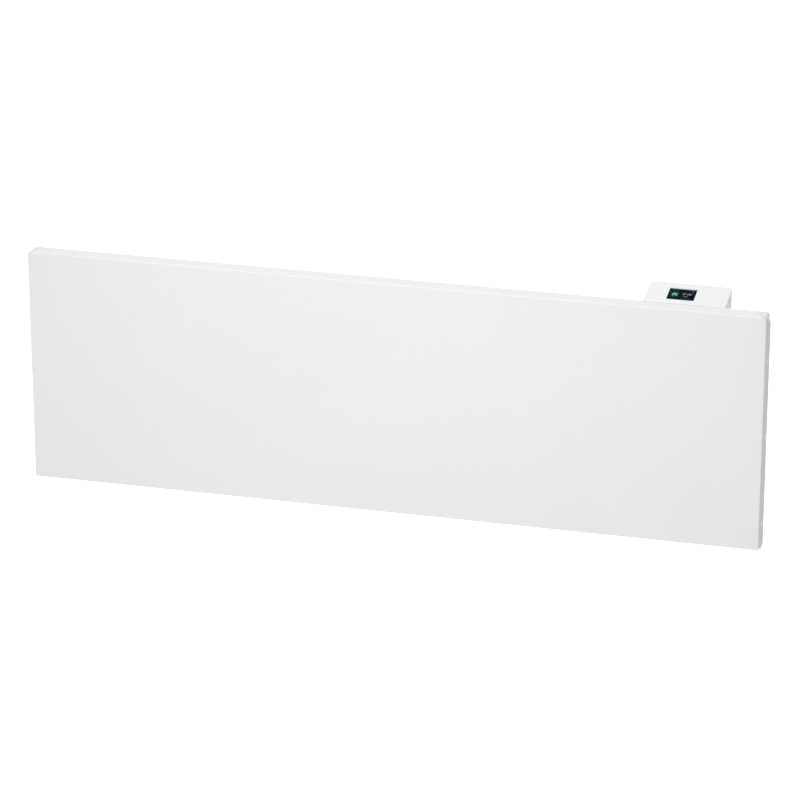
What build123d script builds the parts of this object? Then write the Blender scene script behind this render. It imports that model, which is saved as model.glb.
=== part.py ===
from build123d import *
import math
import os

# Wall panel convector heater, hung on a sheet-steel wall bracket.
# Millimetres. +X is right seen from the room, +Y goes into the wall, +Z is up.
# The origin is the centre of the bracket's wall screw pattern, on the wall plane.

# ---------------------------------------------------------------- overall body
panel_width = 1140.0         # front panel, left to right
panel_height = 370.0         # front panel, bottom to top
wall_to_front = 90.0         # wall plane to the front face
flange_depth = 27.0          # how far the front panel's edges fold back
body_depth = 46.0            # front face to the back of the rear casing
front_sheet = 1.0            # front panel steel
casing_sheet = 0.8           # rear casing steel
fold_radius = 1.8            # outside radius of the front panel's folds
lower_corner_radius = 2.5    # bottom corners of the front panel
lip_height = 6.0             # lip turned in at the back edge of the top and bottom flanges
nest_gap = 0.2               # between sheets that lie inside one another
nest_overlap = 12.0          # how far the casing's walls reach into the front panel
casing_drop = 8.0            # casing bottom below the panel's bottom edge
joint_lip = 10.0             # casing lip behind the panel's bottom lip
body_gap = 0.3               # between pieces that move against each other

# ---------------------------------------------------------------- corner caps
cap_width = 5.5              # seam on the top edge, from the end, at the front
cap_width_back = 18.0        # the same at the flange's back edge
cap_drop = 5.5               # seam on the side edge, from the top, at the front
cap_drop_back = 20.0         # the same at the flange's back edge
cap_radius = 5.5
seam_gap = 0.6
cap_wall = 2.0
cap_tongue_length = 8.0
cap_tongue_height = 4.0
cap_tongue_inset = 5.0       # tongue clear of the front sheet and of the flange's lip

# ---------------------------------------------------------------- air grilles
outlet_drop = 6.0            # the sloping outlet starts this far below the top
grille_sheet = 0.8
outlet_slot_length = 15.0
outlet_slot_width = 4.0
outlet_slot_pitch = 9.0
outlet_lap = 8.0             # grille edge inside the casing's back
grille_end_margin = 22.0     # blank ends of both grilles
intake_slot_length = 10.0
intake_slot_width = 4.0
intake_slot_pitch = 9.0
intake_border = 2.4          # casing edge kept round the intake grille
intake_rib = 1.6             # thickness of the moulded intake grille
intake_clip = 2.0

# ---------------------------------------------------------------- stiffening grooves
groove_below_lead = 24.2     # upper groove below the lead grommet
groove_above_shield = 16.0   # lower groove above the heat shield
groove_width = 12.0
groove_depth = 2.0
groove_end_margin = 40.0

# ---------------------------------------------------------------- heating element
element_length = 880.0
element_height = 95.0        # its axis above the panel's bottom edge
element_depth = 23.0         # its axis behind the front face
fin_reach = 33.0             # wing length from the axis
fin_angle = 68.0             # wings, from the horizontal
fin_thickness = 1.6
fin_tip = 4.0                # turned tips of the wings
hub_radius = 8.0
sheath_radius = 5.0
sheath_fit = 0.1
sheath_overhang = 26.0
terminal_radius = 1.6
terminal_length = 10.0
bush_radius = 8.5
bush_width = 8.0
bush_collar = 1.5
bush_groove = 0.05
support_sheet = 1.2
support_offset = 10.0        # support plate beyond the end of the wings
support_half_height = 22.0
support_reach = 12.0         # support plate in front of the element's axis
support_foot = 14.0
shield_sheet = 0.5
shield_standoff = 4.0
shield_half_height = 44.0
shield_foot = 10.0
shield_inset = 20.0          # shield ends short of the wings' ends

# ---------------------------------------------------------------- wall bracket
screw_spacing_x = 600.0
screw_spacing_z = 200.0
screw_hole_radius = 2.75
rail_sheet = 2.0
rail_flange = 30.0           # width against the wall
rail_front_flange = 18.0
rail_front_half = 80.0       # the front flange's reach above and below the origin
rail_depth = 40.0            # wall plane to the rail's front
rail_top_margin = 14.0       # rail top above the catch
bar_sheet = 1.5
bar_width = 28.0
bar_offset = 60.0            # cross bars above and below the origin
buffer_radius = 7.0
buffer_stem = 2.4
buffer_barb = 3.6            # radius of the barb behind the rail
buffer_height = 65.0         # above the origin

# ---------------------------------------------------------------- lower hinge of the heater on the bracket
pin_standoff = 34.0          # pin axis in front of the wall plane
pin_height = 30.0            # pin axis above the panel's bottom edge
pin_radius = 3.0
hook_wall = 4.0
hook_nose = 2.5              # nose of the hook above the pin's axis
hook_opening = 14.0          # height of the way in for the pin
lug_sheet = 1.5
lug_clearance = 2.0          # between the hook and each ear
lug_half_width = 16.0
lug_above = 22.0
lug_below = 9.0
ear_radius = 6.5
pin_head_radius = 4.6
pin_head = 1.0
pin_fit = 0.05

# ---------------------------------------------------------------- snap catch at the top
catch_height = 320.0         # above the panel's bottom edge
bead_radius = 2.5
bead_standoff = 35.0         # bead axis in front of the wall plane
bead_length = 12.0
strike_sheet = 1.2
strike_neck = 1.5
strike_half_width = 8.0
strike_half_height = 14.0
catch_tab_front = 26.0       # tab face in front of the wall plane
catch_tab_half = 12.0
catch_leaf = 0.6
catch_leaf_width = 10.0
catch_shoulder = 1.2         # straight leaf in front of the bead's axis
catch_throat = (3.6, 1.4)    # leaf's narrowest place: in front of the bead's axis, half opening
catch_mouth = (5.6, 4.4)     # flared end, the same way
catch_back_half = 7.0        # half height of the clip's back

# ---------------------------------------------------------------- rivets and screws
rivet_radius = 1.6
rivet_head_radius = 3.0
rivet_head = 0.9
hole_fit = 0.05
panel_screw_radius = 1.9
panel_screw_head_radius = 3.4
panel_screw_head = 0.7
panel_screw_length = 7.0
panel_screw_heights = (-150.0, -10.0, 110.0)

# ---------------------------------------------------------------- control unit
control_width = 123.5
control_right_inset = 65.5   # panel's right end to the unit's right face
control_front_depth = 25.0   # front edge of its sloping face behind the panel's face
control_back_depth = 84.0    # back of the unit behind the panel's face
control_lip = 1.6            # front edge of the face above the panel's top
control_rise = 12.0          # back edge of the face above the panel's top
control_drop = 140.0         # bottom of the unit below the panel's top
control_wall = 2.2
cover_thickness = 2.4
cover_edge_radius = 0.8
control_back_radius = 8.0
control_rivet_inset = 12.0   # rivets that hold the unit on the casing, from its edges
control_front_radius = 2.5
vent_gap = 3.0               # between the unit and the sloping outlet
cover_seat = 0.1             # joint between cover and housing

display_width = 41.0
display_height = 33.0
display_from_edge = 10.1     # window above the face's front edge, along the slope
display_offset = -8.6        # window centre left of the unit's centre
window_thickness = 1.4
window_fit = 0.15
display_border = 3.0
display_thickness = 2.0
board_thickness = 1.6
board_fit = 0.1
cover_boss_radius = 2.6
cover_boss_inset = 7.0
control_board_height = 43.0
control_board_from_edge = 9.0
control_board_margin = 6.0

# ---------------------------------------------------------------- mains board and what it carries
standoff = 6.0
standoff_radius = 3.2
mains_board_inset = 5.0      # from the unit's left inner wall
mains_board_gap = 3.1        # board's right edge clear of the cord clamp's post
mains_board_bottom = 7.0     # above the unit's floor
mains_board_height = 98.0
mains_board_corner = 5.0
relay_size = (29.0, 15.0, 13.0)         # X, Y, Z
supply_size = (34.0, 16.0, 22.0)
terminal_block_size = (25.0, 13.0, 12.0)
capacitor_radius = 5.0
capacitor_length = 15.0
relay_place = (19.0, 70.0)              # centres on the board, from the middle of its bottom edge
supply_place = (-14.0, 72.0)
terminal_place = (-6.0, 10.0)
capacitor_place = (24.0, 40.0)
part_edge_radius = 1.25
terminal_hole_radius = 1.8
terminal_hole_depth = 3.0
ribbon_thickness = 0.6
ribbon_half_width = 9.0
ribbon_bend = 4.5
ribbon_from_edge = 28.7      # ribbon's end above the control board's front edge
small_screw_radius = 1.3
small_screw_head_radius = 2.5
small_screw_head = 1.2
small_screw_length = 6.0

# ---------------------------------------------------------------- power switch
switch_height = 70.0         # centre above the unit's floor
switch_depth = 25.0          # centre in front of the wall plane
switch_opening = (10.4, 16.8)            # Y, Z
switch_body_wall = 1.15
switch_body_depth = 15.0
switch_bezel = 1.8
switch_bezel_border = 1.2
switch_fit = 0.1
switch_well = 9.0            # depth of the rocker's well below the bezel
rocker_pivot_depth = 5.3     # below the bezel's face
rocker_half_length = 7.4
rocker_clearance = 0.25      # each side, across
rocker_throw = 14.0          # degrees, end to end
rocker_ridge = 3.9
rocker_end = 5.2
rocker_foot = 2.5
rocker_edge_radius = 0.5
trunnion_radius = 1.2
trunnion_length = 0.85
trunnion_fit = 0.06
blade_size = (8.0, 0.8, 4.8)
switch_lead_heights = (20.0, 15.0)       # leads' lower runs above the board's edge, room side first
switch_lead_inset = 10.0     # their ends from the board's right edge
switch_lead_bend = 2.25

# ---------------------------------------------------------------- cord inlet and its clamp
cord_bore_radius = 3.75
gland_inset = 20.0           # axis inside the unit's right face
gland_stand = 25.0           # axis in front of the wall plane
gland_thread_radius = 6.0
gland_flange_radius = 9.0
gland_flange = 3.0
gland_nut_radius = 8.4
gland_nut_height = 9.0
gland_lock_height = 4.0
gland_fit = 0.1
clamp_height = 15.0          # above the unit's floor
clamp_size = (26.0, 5.0, 8.0)
clamp_post_half = 9.5
clamp_post_radius = 3.2

# ---------------------------------------------------------------- room sensor
sensor_inset = 14.0          # axis inside the unit's left face
sensor_radius = 3.0
sensor_length = 20.0
sensor_out = 8.0
sensor_collar_radius = 4.6
sensor_collar = 1.5

# ---------------------------------------------------------------- wiring
lead_radius = 1.2
lead_bend = 9.0
short_lead_bend = 4.5
lead_corner_drop = 32.0      # corners of the element's lead below the earth stud
lead_spread = 2.1            # leads apart from the grommet's axis
lead_depth = 36.0            # vertical runs behind the front face
neutral_depth = 33.0         # long run to the left end
lead_end_clearance = 33.0    # lead turns beyond the element's terminals
grommet_bore = 4.8
grommet_hole = 5.6
grommet_flange = 7.5
grommet_lip = 1.2
clip_pitch = 180.0
clip_width = 8.0
clip_wall = 1.6
cutout_radius = 8.0
cutout_height = 6.0
cutout_above = 60.0          # cut-out above the lead grommet
cutout_sheet = 1.2
cutout_foot = 12.0
cutout_tab = (4.8, 0.8, 9.0)
cutout_tab_half = 4.0
stud_radius = 2.0
stud_length = 9.0
stud_drop = 32.0             # earth stud below the lead grommet
stud_nut_radius = 4.0
stud_nut = 3.2
ring_tag = 1.0

# ---------------------------------------------------------------- positions worked out from the sizes
front_y = -wall_to_front
flange_y = front_y + flange_depth
back_y = front_y + body_depth
half_width = panel_width / 2
panel_top = panel_height / 2
panel_bottom = -panel_height / 2
casing_half = half_width - front_sheet - nest_gap
casing_bottom = panel_bottom - casing_drop
inner_back_y = back_y - casing_sheet
behind_flange_y = flange_y + nest_gap
outlet_top = panel_top - outlet_drop
outlet_rise = back_y - behind_flange_y
outlet_bottom = outlet_top - outlet_rise
nest_front_y = flange_y - nest_overlap

element_y = front_y + element_depth
element_z = panel_bottom + element_height
support_x = element_length / 2 + support_offset
shield_half = element_length / 2 - shield_inset

screw_x = screw_spacing_x / 2
hook_x = screw_x + rail_flange / 2 - rail_sheet / 2
pin_y = -pin_standoff
pin_z = panel_bottom + pin_height
catch_z = panel_bottom + catch_height
bead_y = -bead_standoff
catch_x = hook_x - rail_sheet / 2 - rail_front_flange / 2
notch_radius = pin_radius + body_gap
hook_radius = notch_radius + hook_wall

control_right = half_width - control_right_inset
control_left = control_right - control_width
control_x = (control_left + control_right) / 2
control_front_y = front_y + control_front_depth
control_back_y = front_y + control_back_depth
control_bottom = panel_top - control_drop
control_floor = control_bottom + control_wall
control_front_z = panel_top + control_lip
control_back_z = panel_top + control_rise
control_slope = math.degrees(
    math.atan2(control_back_z - control_front_z, control_back_y - control_front_y)
)
slope_plane = Plane(
    origin=(control_x, control_front_y, control_front_z),
    x_dir=(1, 0, 0),
    z_dir=(0, -math.sin(math.radians(control_slope)), math.cos(math.radians(control_slope))),
)

standoff_y = control_back_y - control_wall - standoff
mains_board_y = standoff_y - board_thickness
gland_x = control_right - gland_inset
gland_y = -gland_stand
mains_board_left = control_left + control_wall + mains_board_inset
mains_board_right = gland_x - clamp_post_half - clamp_post_radius - mains_board_gap
mains_board_x = (mains_board_left + mains_board_right) / 2
mains_board_low = control_floor + mains_board_bottom
grommet_x = mains_board_x + terminal_place[0]
grommet_z = mains_board_low + terminal_place[1]
terminal_face_y = mains_board_y - terminal_block_size[1]
lead_run_y = front_y + lead_depth
neutral_run_y = front_y + neutral_depth
cutout_z = grommet_z + cutout_above
stud_z = grommet_z - stud_drop
lead_turn_x = element_length / 2 + sheath_overhang + lead_end_clearance
terminal_end_x = element_length / 2 + sheath_overhang + terminal_length

groove_heights = (
    grommet_z - groove_below_lead, element_z + shield_half_height + groove_above_shield
)
panel_screw_y = flange_y - nest_overlap / 2
rail_bottom = pin_z - hook_radius
rail_top = catch_z + rail_top_margin
tab_y = -catch_tab_front
screw_heights = (-screw_spacing_z / 2, screw_spacing_z / 2)
cutout_front_y = lead_run_y - cutout_radius
cutout_tab_end_z = cutout_z + cutout_radius - 2 * cutout_height - cutout_tab[2]
stud_tip_y = inner_back_y - stud_length
board_top = cover_thickness + display_thickness + board_fit
clamp_z = control_floor + clamp_height
clamp_front_y = gland_y
sensor_x = control_left + sensor_inset
switch_y = -switch_depth
switch_z = control_floor + switch_height
switch_body_half = (switch_opening[0] / 2 + switch_body_wall, switch_opening[1] / 2 + switch_body_wall)
switch_hole_half = (switch_body_half[0] + switch_fit, switch_body_half[1] + switch_fit)
switch_lead_x = mains_board_right - switch_lead_inset
bezel_x = control_right + switch_bezel
rocker_x = bezel_x - rocker_pivot_depth

lug_rivet_x = lug_half_width / 2 + pin_fit
lug_rivet_z = pin_z + lug_above - rivet_head_radius - pin_head
strike_rivet_z = strike_half_height - rivet_head_radius - pin_head
support_foot_y = inner_back_y - support_sheet
support_rivet_z = support_half_height / 2
shield_rivet_z = shield_half_height - shield_foot / 2
cutout_rivet_z = cutout_z + cutout_radius + cutout_foot / 2

SIDES = (("left", -1), ("right", 1))


# ---------------------------------------------------------------- shape helpers
def block(x_low, x_high, y_low, y_high, z_low, z_high):
    """Box between two corners."""
    centre = Pos((x_low + x_high) / 2, (y_low + y_high) / 2, (z_low + z_high) / 2)
    return centre * Box(abs(x_high - x_low), abs(y_high - y_low), abs(z_high - z_low))


def side_block(side, x_near, x_far, y_low, y_high, z_low, z_high):
    """Box whose X span is given from the centre line outwards, on one side."""
    return block(*sorted((side * x_near, side * x_far)), y_low, y_high, z_low, z_high)


def rod_x(x_low, x_high, y, z, radius):
    return Pos((x_low + x_high) / 2, y, z) * Rot(0, 90, 0) * Cylinder(radius, x_high - x_low)


def rod_y(x, y_low, y_high, z, radius):
    return Pos(x, (y_low + y_high) / 2, z) * Rot(90, 0, 0) * Cylinder(radius, y_high - y_low)


def rod_z(x, y, z_low, z_high, radius):
    return Pos(x, y, (z_low + z_high) / 2) * Cylinder(radius, z_high - z_low)


def prism_x(points, x_low, x_high):
    """Polygon of (y, z) points carried along X."""
    face = make_face(Polyline(*[(x_low, y, z) for y, z in points], close=True))
    return extrude(face, amount=x_high - x_low, dir=(1, 0, 0))


def prism_y(points, y_low, y_high):
    """Polygon of (x, z) points carried along Y."""
    face = make_face(Polyline(*[(x, y_low, z) for x, z in points], close=True))
    return extrude(face, amount=y_high - y_low, dir=(0, 1, 0))


def prism_z(points, z_low, z_high):
    """Polygon of (x, y) points carried along Z."""
    face = make_face(Polyline(*[(x, y, z_low) for x, y in points], close=True))
    return extrude(face, amount=z_high - z_low, dir=(0, 0, 1))


def offset_line(points, distance):
    """Open line moved to its left by a distance, with mitred corners."""
    normals = []
    for (y0, z0), (y1, z1) in zip(points, points[1:]):
        length = math.hypot(y1 - y0, z1 - z0)
        normals.append(((z0 - z1) / length, (y1 - y0) / length))
    pairs = list(zip([normals[0]] + normals, normals + [normals[-1]]))
    moved = []
    for (y, z), (before, after) in zip(points, pairs):
        scale = distance / (1 + before[0] * after[0] + before[1] * after[1])
        moved.append((y + (before[0] + after[0]) * scale, z + (before[1] + after[1]) * scale))
    return moved


def bent_sheet(points, thickness, x_low, x_high):
    """Sheet strip: one face follows the (y, z) points, the other lies to their left."""
    return prism_x(points + offset_line(points, thickness)[::-1], x_low, x_high)


def spread(count, low, high):
    """Evenly spaced values from low to high."""
    return [low + (high - low) * index / (count - 1) for index in range(count)]


def slot_places(low, high, pitch):
    """Slot centres at about the pitch, from one blank end to the other."""
    return spread(max(2, int((high - low) / pitch) + 1), low, high)


# ---------------------------------------------------------------- fasteners
def rivet(x, z, y_low, y_high):
    """Blind rivet through sheets that lie between two Y planes, with a head on each side."""
    body = rod_y(x, y_low - rivet_head, y_high + rivet_head, z, rivet_radius)
    body += rod_y(x, y_low - rivet_head, y_low, z, rivet_head_radius)
    return body + rod_y(x, y_high, y_high + rivet_head, z, rivet_head_radius)


def rivet_hole(x, z, y_low, y_high):
    return rod_y(x, y_low, y_high, z, rivet_radius + hole_fit)


def small_screw(place):
    """Pan-head screw, head above the local XY plane and shank below it."""
    shank = Pos(0, 0, -small_screw_length / 2) * Cylinder(small_screw_radius, small_screw_length)
    head = Pos(0, 0, small_screw_head / 2) * Cylinder(small_screw_head_radius, small_screw_head)
    return place * (shank + head)


# ---------------------------------------------------------------- where the casing's rivets go
def outer_rivet_points():
    """(x, z, outer sheet) of rivets that hold pieces on the outside of the casing."""
    points = []
    for _, side in SIDES:
        points += [(side * hook_x + step, lug_rivet_z, lug_sheet) for step in (-lug_rivet_x, lug_rivet_x)]
        points += [
            (side * catch_x, catch_z + step, strike_sheet) for step in (-strike_rivet_z, strike_rivet_z)
        ]
    return points


def inner_rivet_points():
    """(x, z, inner sheet) of rivets that hold pieces on the inside of the casing."""
    points = []
    for _, side in SIDES:
        foot_x = side * (support_x + support_foot / 2)
        points += [(foot_x, element_z + step, support_sheet) for step in (-support_rivet_z, support_rivet_z)]
    for x in spread(3, -shield_half + shield_foot, shield_half - shield_foot):
        points += [(x, element_z + step, shield_sheet) for step in (-shield_rivet_z, shield_rivet_z)]
    return points


def control_rivet_points():
    """(x, z, inner sheet) of rivets through the casing and the control unit's front wall."""
    half = control_width / 2 - control_rivet_inset
    low = control_floor + control_rivet_inset
    points = [(control_x + step, low, 0) for step in (-half, half)]
    points += [(control_x + step, cutout_rivet_z, 0) for step in (-half, half)]
    points.append((grommet_x, cutout_rivet_z, cutout_sheet))
    return points


def casing_rivets():
    rivets = [rivet(x, z, inner_back_y, back_y + sheet) for x, z, sheet in outer_rivet_points()]
    rivets += [rivet(x, z, inner_back_y - sheet, back_y) for x, z, sheet in inner_rivet_points()]
    wall_end = back_y + control_wall
    rivets += [rivet(x, z, inner_back_y - sheet, wall_end) for x, z, sheet in control_rivet_points()]
    return Compound(rivets)


# ---------------------------------------------------------------- front panel and its corner caps
def rounded_slab(half, y_low, y_high, z_low, z_high, corner, edge):
    """Slab with rounded bottom corners and a rounded front edge."""
    slab = block(-half, half, y_low, y_high, z_low, z_high)
    slab = fillet([e for e in slab.edges().filter_by(Axis.Y) if e.center().Z < 0], corner)
    front = slab.faces().sort_by(Axis.Y)[0]
    return fillet(front.edges(), edge)


def seam_triangle(side, gap):
    """(x, z) outline of the corner that is cut off the front sheet."""
    shift = gap * math.sqrt(2)
    return [
        (side * (half_width - cap_width + shift), panel_top),
        (side * half_width, panel_top - cap_drop + shift),
        (side * (half_width + cap_width), panel_top - cap_drop + shift),
        (side * (half_width + cap_width), panel_top + cap_width),
        (side * (half_width - cap_width + shift), panel_top + cap_width),
    ]


def seam_side(gap):
    """(y, z) outline of the corner that is cut off the side flange."""
    return [
        (front_y, panel_top - cap_drop + gap),
        (flange_y, panel_top - cap_drop_back + gap),
        (flange_y, panel_top + cap_width),
        (front_y, panel_top + cap_width),
    ]


def seam_top(side, gap):
    """(x, y) outline of the corner that is cut off the top flange behind the front sheet."""
    return [
        (side * (half_width - cap_width + gap), front_y + front_sheet),
        (side * (half_width + cap_width), front_y + front_sheet),
        (side * (half_width + cap_width), flange_y),
        (side * (half_width - cap_width_back + gap), flange_y),
    ]


def front_panel():
    outer = rounded_slab(
        half_width, front_y, flange_y, panel_bottom, panel_top, lower_corner_radius, fold_radius
    )
    inner = rounded_slab(
        half_width - front_sheet, front_y + front_sheet, flange_y + front_sheet,
        panel_bottom + front_sheet, panel_top - front_sheet,
        lower_corner_radius - front_sheet, fold_radius - front_sheet,
    )
    panel = outer - inner
    lip_half = half_width - cap_width_back - cap_tongue_length - lip_height
    lip_y = flange_y - front_sheet
    panel += block(-lip_half, lip_half, lip_y, flange_y, panel_top - lip_height, panel_top - front_sheet)
    panel += block(
        -lip_half, lip_half, lip_y, flange_y, panel_bottom + front_sheet, panel_bottom + lip_height
    )
    behind_front = front_y + front_sheet
    for _, side in SIDES:
        panel -= prism_y(seam_triangle(side, 0), front_y - front_sheet, behind_front)
        panel -= prism_z(seam_top(side, 0), panel_top - fold_radius, panel_top + front_sheet)
        x_low, x_high = sorted((side * (half_width - fold_radius), side * (half_width + front_sheet)))
        side_cut = prism_x(seam_side(0), x_low, x_high)
        panel -= side_cut & block(
            x_low, x_high, behind_front, flange_y + front_sheet, panel_bottom, panel_top + cap_width
        )
        for z in panel_screw_heights:
            panel -= rod_x(
                *sorted((side * (half_width - panel_screw_length), side * (half_width + front_sheet))),
                panel_screw_y, z, panel_screw_radius + hole_fit,
            )
    return panel


def corner_cap(side):
    """Rounded cap that fills the open corner of the folded sheet."""
    low = panel_top - cap_drop_back
    inner = half_width - cap_width_back + seam_gap
    cap = side_block(side, inner, half_width, front_y, flange_y, low, panel_top)
    outer_edge = [
        e for e in cap.edges().filter_by(Axis.Y)
        if side * e.center().X > half_width - cap_width / 2 and e.center().Z > panel_top - cap_drop / 2
    ]
    cap = fillet(outer_edge, cap_radius)
    front = cap.faces().sort_by(Axis.Y)[0]
    rim = [
        e for e in front.edges()
        if e.center().Z > panel_top - cap_radius or side * e.center().X > half_width - seam_gap
    ]
    rim = [e for e in rim if side * e.center().X > inner + seam_gap]
    cap = fillet(rim, fold_radius)
    behind_front = front_y + front_sheet + seam_gap
    front_keep = prism_y(seam_triangle(side, seam_gap), front_y - front_sheet, behind_front)
    front_slab = block(
        -panel_width, panel_width, front_y - front_sheet, behind_front, low - cap_drop, panel_top + cap_drop
    )
    cap -= front_slab - front_keep
    x_low, x_high = sorted((side * (half_width - front_sheet - seam_gap), side * (half_width + front_sheet)))
    side_slab = block(x_low, x_high, front_y, flange_y + front_sheet, low - cap_drop, panel_top + cap_drop)
    cap -= side_slab - prism_x(seam_side(seam_gap), x_low, x_high)
    under_flange = panel_top - front_sheet - nest_gap
    top_slab = block(
        -panel_width, panel_width, behind_front, flange_y + front_sheet, under_flange, panel_top + cap_drop
    )
    cap -= top_slab - prism_z(seam_top(side, seam_gap), under_flange, panel_top + cap_drop)
    cap -= side_block(
        side, inner + cap_wall, half_width - front_sheet - seam_gap - cap_wall,
        behind_front + cap_wall, flange_y + front_sheet, low - cap_drop, panel_top - cap_wall - cap_drop / 2,
    )
    return cap + side_block(
        side, inner - cap_tongue_length, inner + cap_wall,
        front_y + cap_tongue_inset, flange_y - cap_tongue_inset,
        under_flange - cap_tongue_height, under_flange,
    )


# ---------------------------------------------------------------- rear casing and grilles
def casing_end(side):
    """Side wall: nests in the front panel's flange and has the outlet's sloping corner."""
    nest_bottom = panel_bottom + front_sheet + nest_gap
    nest_top = panel_top - cap_drop_back - seam_gap
    outline = [
        (nest_front_y, nest_bottom + lower_corner_radius),
        (behind_flange_y, nest_bottom + lower_corner_radius),
        (behind_flange_y, casing_bottom),
        (back_y, casing_bottom),
        (back_y, outlet_bottom),
        (behind_flange_y, outlet_top),
        (behind_flange_y, nest_top),
        (nest_front_y, nest_top),
    ]
    x_low, x_high = sorted((side * (casing_half - casing_sheet), side * casing_half))
    return prism_x(outline, x_low, x_high)


def groove(z):
    """Pressed stiffening groove: (ridge inside, recess outside)."""
    low = -half_width + groove_end_margin
    high = control_left - groove_end_margin
    centre = (low + high) / 2
    wall = casing_sheet
    shapes = []
    for width, front, rear in (
        (groove_width + 2 * wall, back_y - groove_depth - wall, back_y - wall / 2),
        (groove_width, back_y - groove_depth, back_y + wall),
    ):
        outline = Plane((centre, front, z), x_dir=(1, 0, 0), z_dir=(0, 1, 0)) * SlotOverall(
            high - low - groove_width + width, width
        )
        shapes.append(extrude(outline, amount=rear - front, dir=(0, 1, 0)))
    return shapes


def intake_span():
    """Front and back edges of the intake grille in Y, and its ends in X."""
    low = behind_flange_y + casing_sheet + intake_border
    high = inner_back_y - intake_border
    return low, high, casing_half - casing_sheet - intake_border


def rear_casing():
    casing = block(-casing_half, casing_half, inner_back_y, back_y, casing_bottom, outlet_bottom)
    for z in groove_heights:
        ridge, recess = groove(z)
        casing = casing + ridge - recess
    casing += block(
        -casing_half, casing_half, behind_flange_y, back_y, casing_bottom, casing_bottom + casing_sheet
    )
    casing += block(
        -casing_half, casing_half, behind_flange_y, behind_flange_y + casing_sheet,
        casing_bottom, panel_bottom + joint_lip,
    )
    for _, side in SIDES:
        casing += casing_end(side)
    y_low, y_high, x_high = intake_span()
    cuts = [block(-x_high, x_high, y_low, y_high, casing_bottom - casing_sheet, casing_bottom + intake_rib)]
    rivet_points = outer_rivet_points() + inner_rivet_points() + control_rivet_points()
    cuts += [rivet_hole(x, z, inner_back_y, back_y) for x, z, _ in rivet_points]
    cuts.append(rod_y(grommet_x, inner_back_y, back_y, grommet_z, grommet_hole + hole_fit))
    cuts.append(rod_y(grommet_x, inner_back_y, back_y, stud_z, stud_radius + hole_fit))
    for z in panel_screw_heights:
        for _, side in SIDES:
            span = sorted((side * (casing_half - 2 * casing_sheet), side * half_width))
            cuts.append(rod_x(*span, panel_screw_y, z, panel_screw_radius + hole_fit))
    return casing - cuts


def panel_screws():
    """Low-head screws through the side flanges into the casing's side walls."""
    screws = []
    for _, side in SIDES:
        for z in panel_screw_heights:
            shank = sorted((side * (half_width - panel_screw_length), side * half_width))
            head = sorted((side * half_width, side * (half_width + panel_screw_head)))
            screws.append(
                rod_x(*shank, panel_screw_y, z, panel_screw_radius)
                + rod_x(*head, panel_screw_y, z, panel_screw_head_radius)
            )
    return Compound(screws)


def outlet_grille():
    """Sloping slotted strip between the top flange and the casing's back."""
    lap_y = inner_back_y - nest_gap
    corner_z = outlet_bottom + nest_gap + casing_sheet
    profile = [
        (behind_flange_y + grille_sheet, panel_top - front_sheet),
        (behind_flange_y + grille_sheet, outlet_top),
        (lap_y, corner_z),
        (lap_y, outlet_bottom - outlet_lap),
    ]
    end = casing_half - casing_sheet - nest_gap
    strip = bent_sheet(profile, -grille_sheet, -end, end)
    slope_mid = ((behind_flange_y + grille_sheet + lap_y) / 2, (outlet_top + corner_z) / 2)
    cuts = []
    spans = (
        (-end + grille_end_margin, control_left - grille_end_margin / 2),
        (control_right + grille_end_margin / 2, end - grille_end_margin),
    )
    for low, high in spans:
        for x in slot_places(low, high, outlet_slot_pitch):
            place = Plane((x, slope_mid[0], slope_mid[1]), x_dir=(0, 1, -1), z_dir=(0, 1, 1))
            slot = place * SlotOverall(outlet_slot_length, outlet_slot_width)
            cuts.append(extrude(slot, amount=2 * grille_sheet, both=True))
    return strip - cuts


def intake_grille():
    """Moulded grille clipped into the casing's underside."""
    y_low, y_high, x_high = intake_span()
    top = casing_bottom + casing_sheet + nest_gap + intake_rib
    body = block(
        -x_high + nest_gap, x_high - nest_gap, y_low + nest_gap, y_high - nest_gap, casing_bottom, top
    )
    body += block(
        -x_high - intake_clip, x_high + intake_clip, y_low - intake_clip, y_high + intake_clip,
        top - intake_rib, top,
    )
    cuts = []
    for x in slot_places(-x_high + grille_end_margin, x_high - grille_end_margin, intake_slot_pitch):
        place = Plane((x, (y_low + y_high) / 2, casing_bottom), x_dir=(0, 1, 0), z_dir=(0, 0, 1))
        slot = place * SlotOverall(intake_slot_length, intake_slot_width)
        cuts.append(extrude(slot, amount=2 * intake_rib + casing_sheet + nest_gap))
    return body - cuts


# ---------------------------------------------------------------- heating element
def element_fins():
    """Aluminium X section with a hub for the sheathed heater."""
    plane = Plane((-element_length / 2, element_y, element_z), x_dir=(0, 1, 0), z_dir=(1, 0, 0))
    section = Circle(hub_radius)
    for quarter in (fin_angle, 180 - fin_angle, 180 + fin_angle, -fin_angle):
        wing = Rot(0, 0, quarter) * Pos(fin_reach / 2, 0) * Rectangle(fin_reach, fin_thickness)
        tip_turn = fin_tip if math.sin(math.radians(2 * quarter)) > 0 else -fin_tip
        tip = Rot(0, 0, quarter) * Pos(fin_reach - fin_thickness / 2, tip_turn / 2)
        section += wing + tip * Rectangle(fin_thickness, fin_tip)
    section -= Circle(sheath_radius + sheath_fit)
    return extrude(plane * section, amount=element_length, dir=(1, 0, 0))


def element_sheath():
    end = element_length / 2 + sheath_overhang
    return rod_x(-end, end, element_y, element_z, sheath_radius)


def element_terminals():
    start = element_length / 2 + sheath_overhang
    spans = [sorted((side * start, side * terminal_end_x)) for _, side in SIDES]
    return Compound([rod_x(*span, element_y, element_z, terminal_radius) for span in spans])


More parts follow.
